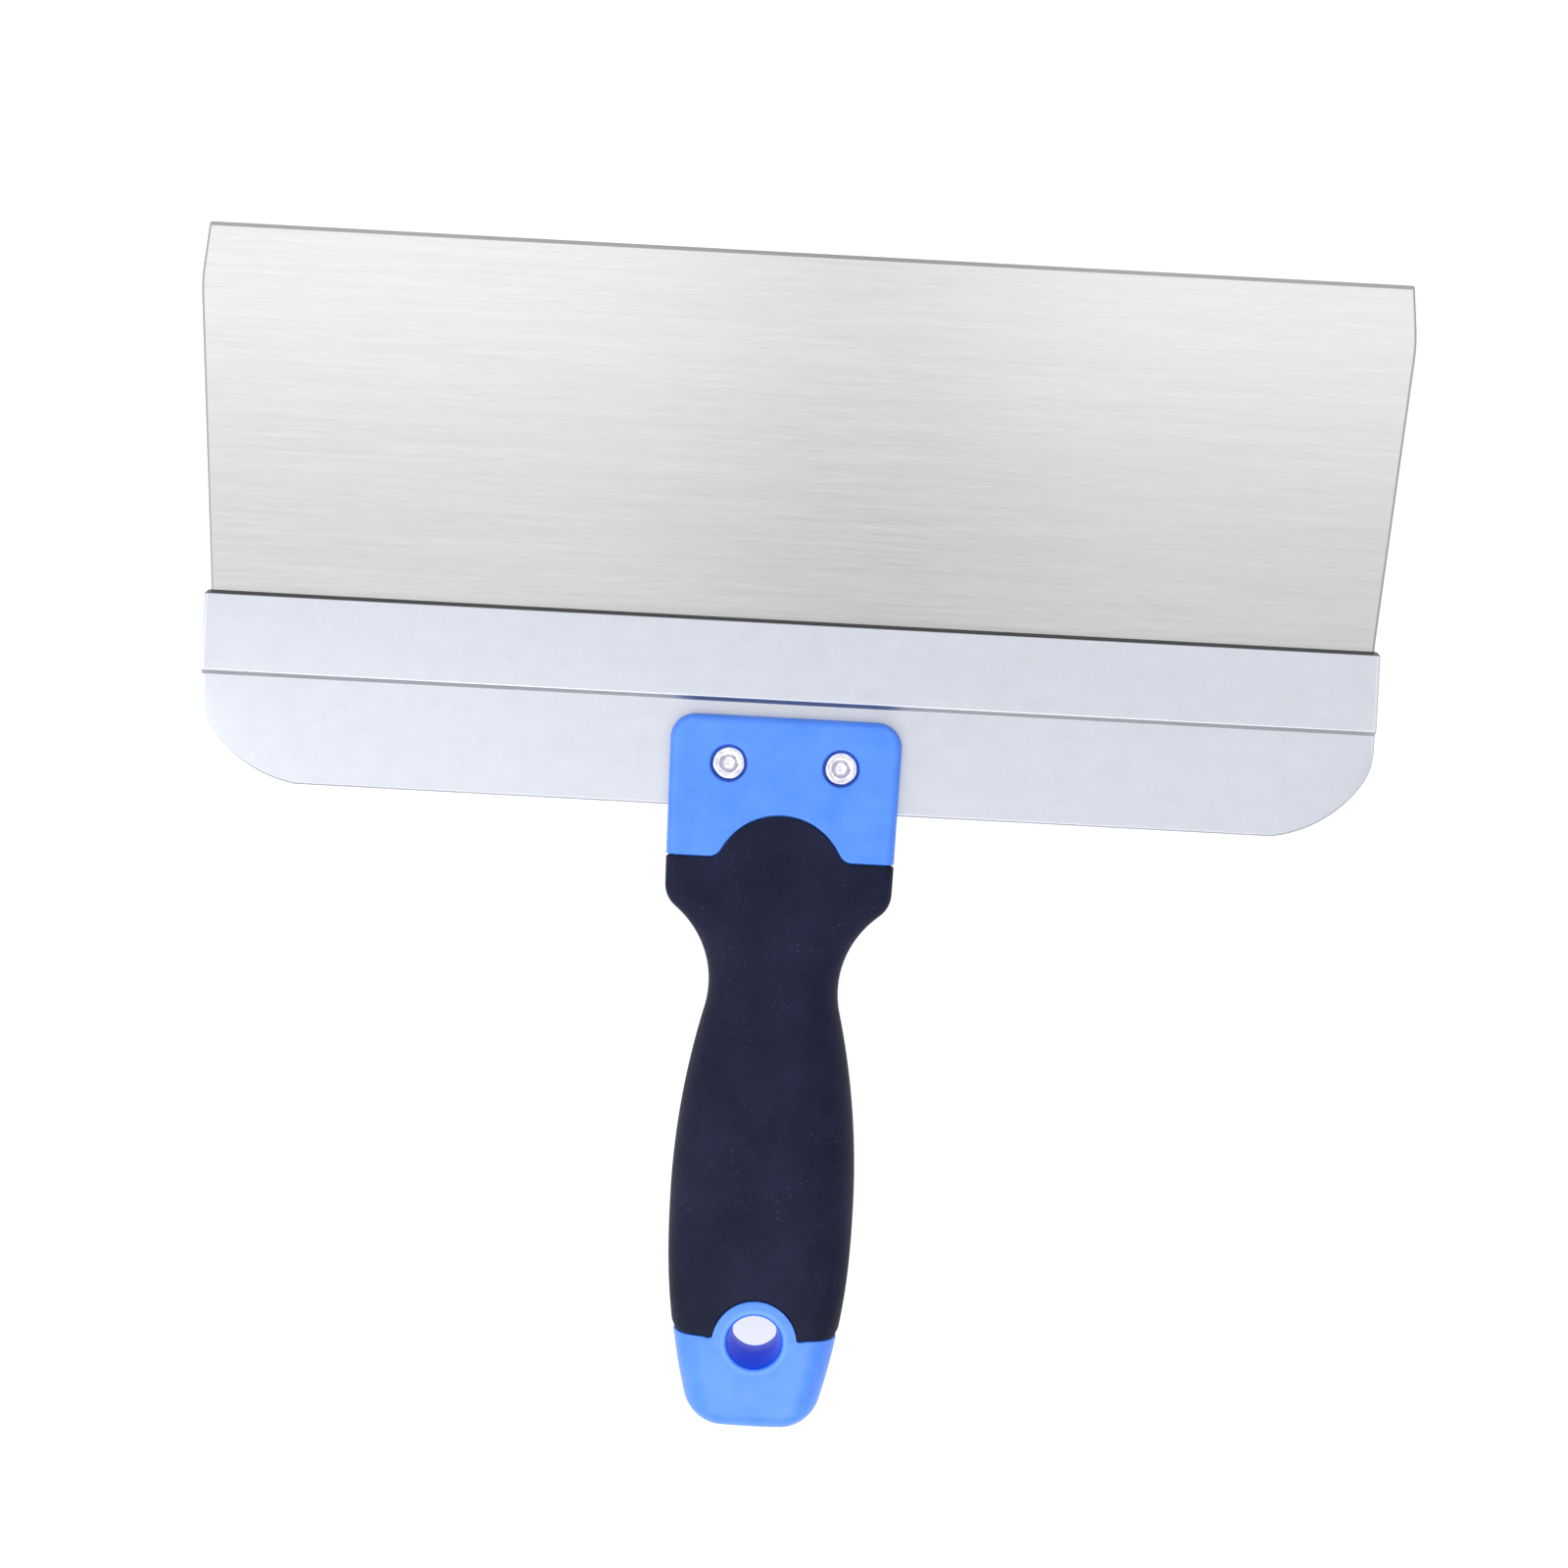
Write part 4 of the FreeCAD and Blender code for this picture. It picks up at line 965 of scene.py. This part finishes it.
def buttCrown(skin):
    # The butt's end is slightly crowned: it recedes towards the head with the square of the
    # distance from its middle.
    d = headFrontY - skin[..., 1]
    near = smoothStep(d, handleLength - core["crownLength"], handleLength)
    return near * core["crown"] * (skin[..., 0] / core["crownHalf"]) ** 2


def forkSlotCutter():
    # A flat box from in front of the head back to the rail's rear edge.
    front = headFrontY + core["slotReach"]
    rear = -rail["depth"]
    half = core["slotHalf"]
    outline = np.array([[front, -half], [front, half], [rear, half], [rear, -half]])
    sides = np.array([-core["slotWidth"], core["slotWidth"]])
    points = np.stack([np.repeat(sides[:, None], 4, axis=1),
                       np.repeat(outline[None, :, 0], 2, axis=0),
                       np.repeat(outline[None, :, 1], 2, axis=0)], -1)
    return surfacePiece("slot_cutter", points, capEnds=True)


def counterboreCutters():
    # A flat-bottomed pocket with a softened rim over each rivet end, and the shank's hole.
    top = handle["headThick"]
    floor = rivet["floor"]
    rim = core["counterboreRim"]
    radius = core["counterbore"]
    soft = core["floorRound"]
    clear = core["pocketClear"]
    above = top + core["pocketAbove"]
    segments = core["pocketSegments"]
    upper = [(0, floor), (radius - soft, floor), (radius, floor + soft), (radius, top - rim)]
    upper += arcPoints((radius + rim, top - rim), (rim, rim), 180, 108, 7)[1:]
    upper += [(radius + rim + clear, top + clear), (radius + rim + clear, above), (0, above)]
    lower = [(r, -z) for r, z in upper]
    cutters = []
    for side in (1, -1):
        spot = (side * rivet["spread"], rivet["y"])
        cutters.append(turned("upper_pocket", *spot, upper, segments))
        cutters.append(turned("lower_pocket", *spot, lower, segments))
        cutters.append(shankCutter("shank_hole", side, core["drill"]))
    return cutters


def hangingHoleCutter():
    # Hourglass: a straight waist, a cone to each face and a rounded rim that follows the face.
    # Heights near the rim are measured from the face over that point, so the rim stays even where
    # the face slopes.
    outward, down = core["holeRim"]
    mouth = core["holeMouth"]
    arc = np.array(arcPoints((mouth + outward, -down), (outward, down), 180, 100, 10))
    rim = mouth + outward
    near, far = core["holeClear"]
    radius = np.concatenate([[0, core["holeWaist"]], arc[:, 0], [rim + near, rim + far, 0]])
    # Height above the face; the first two points lie at the end of the waist instead.
    fromFace = np.concatenate([[0, 0], arc[:, 1], core["holeAbove"]])
    useFace = np.array([0, 0] + [1] * (len(radius) - 2))
    angle = fullTurn(96)
    x = radius[:, None] * np.cos(angle)
    along = radius[:, None] * np.sin(angle)
    face = faceHeight(rim * np.cos(angle), core["holePlace"] - rim * np.sin(angle),
                      seam["buttDrop"])
    slope = np.clip(radius / rim, 0, 1)[:, None]
    middleFace = face.mean()
    local = middleFace + (face - middleFace) * slope
    height = np.where(useFace[:, None] > 0, local + fromFace[:, None], core["holeLand"])
    y = headFrontY - core["holePlace"] + along
    upper = np.stack([x, y, height], -1)[1:]
    lower = (upper * [1, 1, -1])[::-1]
    return surfacePiece("hole_cutter", np.concatenate([lower, upper]))


def makeGrip():
    # A sleeve: front lip, outer skin, rear lip and back along the inside, closed both ways.
    share, front, rear = seamColumns()
    gap = seam["gap"] / 2
    lip = seam["lip"]
    outerX = np.abs(handlePoints(share, rear, 0)[:, 0])
    toSide = smoothStep(outerX / outerX.max(), seam["sideStart"], 1.0)
    rearLip = lip + (seam["sideLip"] - lip) * toSide
    inner = seam["wall"] - seam["insideGap"]
    shallow = seam["tongueDepth"] - seam["insideGap"]
    spineStart = handle["frontSeam"] + seam["spineStart"]
    quarter = np.linspace(0, math.pi / 2, 7)
    places, insets, add, run = newRows(share)
    add(front + gap, shallow)
    run(4, front + gap, lip)
    for angle in quarter[1:]:
        add(front + gap + lip * (1 - math.cos(angle)), lip * (1 - math.sin(angle)))
    run(150, rear - gap - rearLip, 0)
    for angle in quarter[1:]:
        add(rear - gap - rearLip * (1 - math.sin(angle)), rearLip * (1 - math.cos(angle)))
    run(4, rear - gap, inner)
    run(60, spineStart, inner)
    # The last run stops short of the first row, to which the sleeve closes.
    for step in np.linspace(0, 1, 6)[1:-1]:
        add(spineStart + (front + gap - spineStart) * step, inner + (shallow - inner) * step)
    return surfacePiece("soft_sleeve", rowsOf(share, places, insets), wrapRows=True)


rivet = {
    "spread": (rivetLow[0] + rivetHigh[0]) / 2,  # from the middle to each rivet
    "y": (rivetLow[1] + rivetHigh[1]) / 2 - lipY,
    "shank": 2.0,
    "floor": 4.2,  # height of the counterbore's floor
    "clinch": 3.4,  # outer radius of the rolled clinch
    "clinchHeight": rivetHigh[2] - middleZ - 4.2,
    "mouth": 1.6,  # inner edge of the clinch
    "crest": (2.35, 3.0),  # its nearly flat top, inner and outer radius
    "roll": 0.5,  # height of the clinch's rounded sides
    "rollDrop": 0.55,  # their foot, below the crest
    "bore": 1.15,
    "boreDepth": 1.4,
    "boreCone": (0.12, 0.3, 0.7),  # softened top: outwards, from and to this depth
    "head": 3.5,  # factory head at the back
    "headEdge": 0.35,
    "headHeight": middleZ - rivetLow[2] - 4.2,
    "headBreak": 0.08,  # softened corners of the head and the clinch
    "clinchBreak": 0.1,
    "slack": 0.02,  # keeps the shank clear of the hole
    "waves": ((3, 0.035), (7, 0.02)),  # the clinch's unevenness: waves a turn, height
    "wavePhase": 2.3,  # between one rivet and the next
    "waveWidth": 0.35,  # its effect on the radius
    "holeSegments": 48,
    "segments": 96,
}


def makeRivet(name, side, seed):
    # Turned profile of radius and height: domed head, shank, rolled clinch and open bore.
    # The clinch rises and falls by a few hundredths round its rim, as a real one does.
    floor = rivet["floor"]
    height = rivet["clinchHeight"]
    innerCrest, outerCrest = rivet["crest"]
    base = floor + height - rivet["rollDrop"]
    roll = rivet["roll"]
    clinch = rivet["clinch"]
    shank = rivet["shank"] - rivet["slack"]
    bore = rivet["bore"]
    boreFloor = floor - rivet["boreDepth"]
    outwards, coneTop, coneFoot = rivet["boreCone"]
    headBreak = rivet["headBreak"]
    clinchBreak = rivet["clinchBreak"]
    dome = [(rivet["head"] * math.sin(t), -floor - rivet["headEdge"]
             - (rivet["headHeight"] - rivet["headEdge"]) * math.cos(t))
            for t in np.linspace(0, math.pi / 2, 14)]
    profile = dome + [(rivet["head"], -floor - headBreak), (rivet["head"] - headBreak, -floor),
                      (shank, -floor), (shank, floor), (clinch - clinchBreak, floor),
                      (clinch, floor + clinchBreak)]
    profile += arcPoints((outerCrest, base), (clinch - outerCrest, roll), 0, 90, 10)
    profile += [(outerCrest * 0.5 + innerCrest * 0.5, floor + height)]
    profile += arcPoints((innerCrest, base), (innerCrest - rivet["mouth"], roll), 90, 180, 10)
    profile += [(bore + outwards, floor - coneTop), (bore, floor - coneFoot),
                (bore, boreFloor), (0, boreFloor - bore / 3)]
    radius, z = np.array(profile).T
    angle = fullTurn(rivet["segments"])
    phase = seed * rivet["wavePhase"]
    (slowWaves, slowHeight), (quickWaves, quickHeight) = rivet["waves"]
    wave = (slowHeight * np.sin(slowWaves * angle + phase)
            + quickHeight * np.sin(quickWaves * angle + 2 * phase))
    onRoll = smoothStep(z, floor, floor + height)[:, None]
    r = radius[:, None] * (1 + rivet["waveWidth"] * wave * onRoll)
    points = np.stack([side * rivet["spread"] + r * np.cos(angle), rivet["y"] + r * np.sin(angle),
                       z[:, None] + wave * onRoll], -1)
    return surfacePiece(name, points)


print("making the blade")
bladeSheet = makeBlade()
shadeByAngle(bladeSheet, 4)
finishPiece(bladeSheet, brushedSteel(), None, "blade_steel", "blade")
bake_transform(bladeSheet)

print("making the rail")
railPiece = makeRail()
shadeByAngle(railPiece, 25)
finishPiece(railPiece, satinAluminium(), "handle", "rail_aluminium", "backing_rail")

print("making the handle's core")
corePiece = makeCore()
shadeByAngle(corePiece, 25)
finishPiece(corePiece, bluePlastic(), "handle", "core_plastic", "handle_core")

print("making the soft grip")
gripPiece = makeGrip()
shadeByAngle(gripPiece, 40)
finishPiece(gripPiece, softRubber(), "handle", "soft_grip", "grip_overmould")

print("making the rivets")
nickel = brightNickel()
for name, side, seed in (("rivet_right", 1, 1), ("rivet_left", -1, 2)):
    rivetPiece = makeRivet(name + "_set", side, seed)
    shadeByAngle(rivetPiece, 35)
    finishPiece(rivetPiece, nickel, "handle", "rivet_nickel", name)


studio = {
    "cameraAbove": 0.395,  # metres above the blade
    "cameraY": -0.0339,  # behind the rail's lip
    "fieldOfView": 44.72,
    "turn": 3.08,  # the knife lies turned by this many degrees
    "floorSize": 6.0,
    "glow": (0.14, 1.04),  # of the room, at its darkest and brightest side
    "glowSpan": (-0.5, 0.95),  # cosines of the angle to it that these stand for
    "brightSide": (-0.20, -0.42, 0.88),  # direction of the brightest side
    "floorGrey": 0.36,
    "floorGlow": 0.78,
    # Name, place, width and depth, power, and the point that the light faces, in metres and watts.
    "lights": [
        ("left_box", (-0.50, -0.12, 1.0), (0.9, 0.66), 1.05, (-0.50, -0.12, 0)),
        ("right_box", (0.62, -0.06, 1.0), (0.9, 0.5), 0.65, (0.62, -0.06, 0)),
        ("front_left_box", (-0.57, 0.62, 1.0), (1.1, 0.6), 1.9, (-0.57, 0.62, 0)),
        ("front_right_box", (0.64, 0.62, 1.0), (1.1, 0.6), 2.1, (0.64, 0.62, 0)),
        ("butt_box", (0.0, -0.80, 0.85), (0.9, 0.5), 4.5, (0.0, -0.11, 0)),
        ("key", (-1.3, -0.5, 1.0), (1.0, 1.0), 7.0, (0, 0, 0)),
    ],
}


def addLight(name, spot, size, power, aim):
    # Rectangular light that faces a point: tilted from straight down by the angle to it, then
    # turned to its side.
    light = bpy.data.lights.new(name, "AREA")
    light.shape = "RECTANGLE"
    light.size, light.size_y = size
    light.energy = power
    lamp = bpy.data.objects.new(name, light)
    bpy.context.scene.collection.objects.link(lamp)
    towards = np.array(aim, float) - np.array(spot, float)
    flat = math.hypot(towards[0], towards[1])
    lamp.location = spot
    lamp.rotation_euler = (math.atan2(flat, -towards[2]), 0,
                           math.atan2(towards[1], towards[0]) - math.pi / 2 if flat > 0 else 0)


def makeStudio():
    # Pale glowing floor, a room whose light follows the cosine of the angle to its brightest side,
    # the light boxes, and a camera straight above the knife.
    half = studio["floorSize"] / 2
    mesh = bpy.data.meshes.new("floor")
    mesh.from_pydata([(-half, -half, 0), (half, -half, 0), (half, half, 0), (-half, half, 0)],
                     [], [(0, 1, 2, 3)])
    floor = bpy.data.objects.new("floor", mesh)
    bpy.context.scene.collection.objects.link(floor)
    material, nodes, links, shader = newMaterial("pale_floor")
    grey = studio["floorGrey"]
    shader.inputs["Base Color"].default_value = (grey, grey, grey, 1)
    shader.inputs["Roughness"].default_value = 1.0
    shader.inputs["Specular IOR Level"].default_value = 0.0
    shader.inputs["Emission Color"].default_value = (1.0, 1.0, 1.0, 1)
    shader.inputs["Emission Strength"].default_value = studio["floorGlow"]
    mesh.materials.append(material)

    world = bpy.data.worlds.new("studio")
    world.use_nodes = True
    # A room that is brightest overhead, to the left and behind the handle.
    nodes, links = world.node_tree.nodes, world.node_tree.links
    direction = nodes.new("ShaderNodeTexCoord")
    towards = nodes.new("ShaderNodeVectorMath")
    towards.operation = "DOT_PRODUCT"
    towards.inputs[1].default_value = studio["brightSide"]
    links.new(direction.outputs["Generated"], towards.inputs[0])
    glow = remap(nodes, links, towards.outputs["Value"], *studio["glowSpan"], *studio["glow"])
    links.new(glow, nodes["Background"].inputs["Strength"])
    nodes["Background"].inputs["Color"].default_value = (1.0, 1.0, 1.0, 1)
    bpy.context.scene.world = world
    for name, spot, size, power, aim in studio["lights"]:
        addLight(name, spot, size, power, aim)

    view = bpy.data.cameras.new("camera")
    view.sensor_fit = "HORIZONTAL"
    view.angle = math.radians(studio["fieldOfView"])
    view.clip_start = 0.01
    camera = bpy.data.objects.new("camera", view)
    bpy.context.scene.collection.objects.link(camera)
    lip = place([0, 0, 0])
    camera.location = (0, lip[1] + studio["cameraY"], lip[2] + studio["cameraAbove"])
    camera.rotation_euler = (0, 0, math.radians(studio["turn"]))
    bpy.context.scene.camera = camera
    bpy.context.scene.view_settings.view_transform = "Standard"


print("setting up the studio")
makeStudio()
bpy.context.view_layer.update()
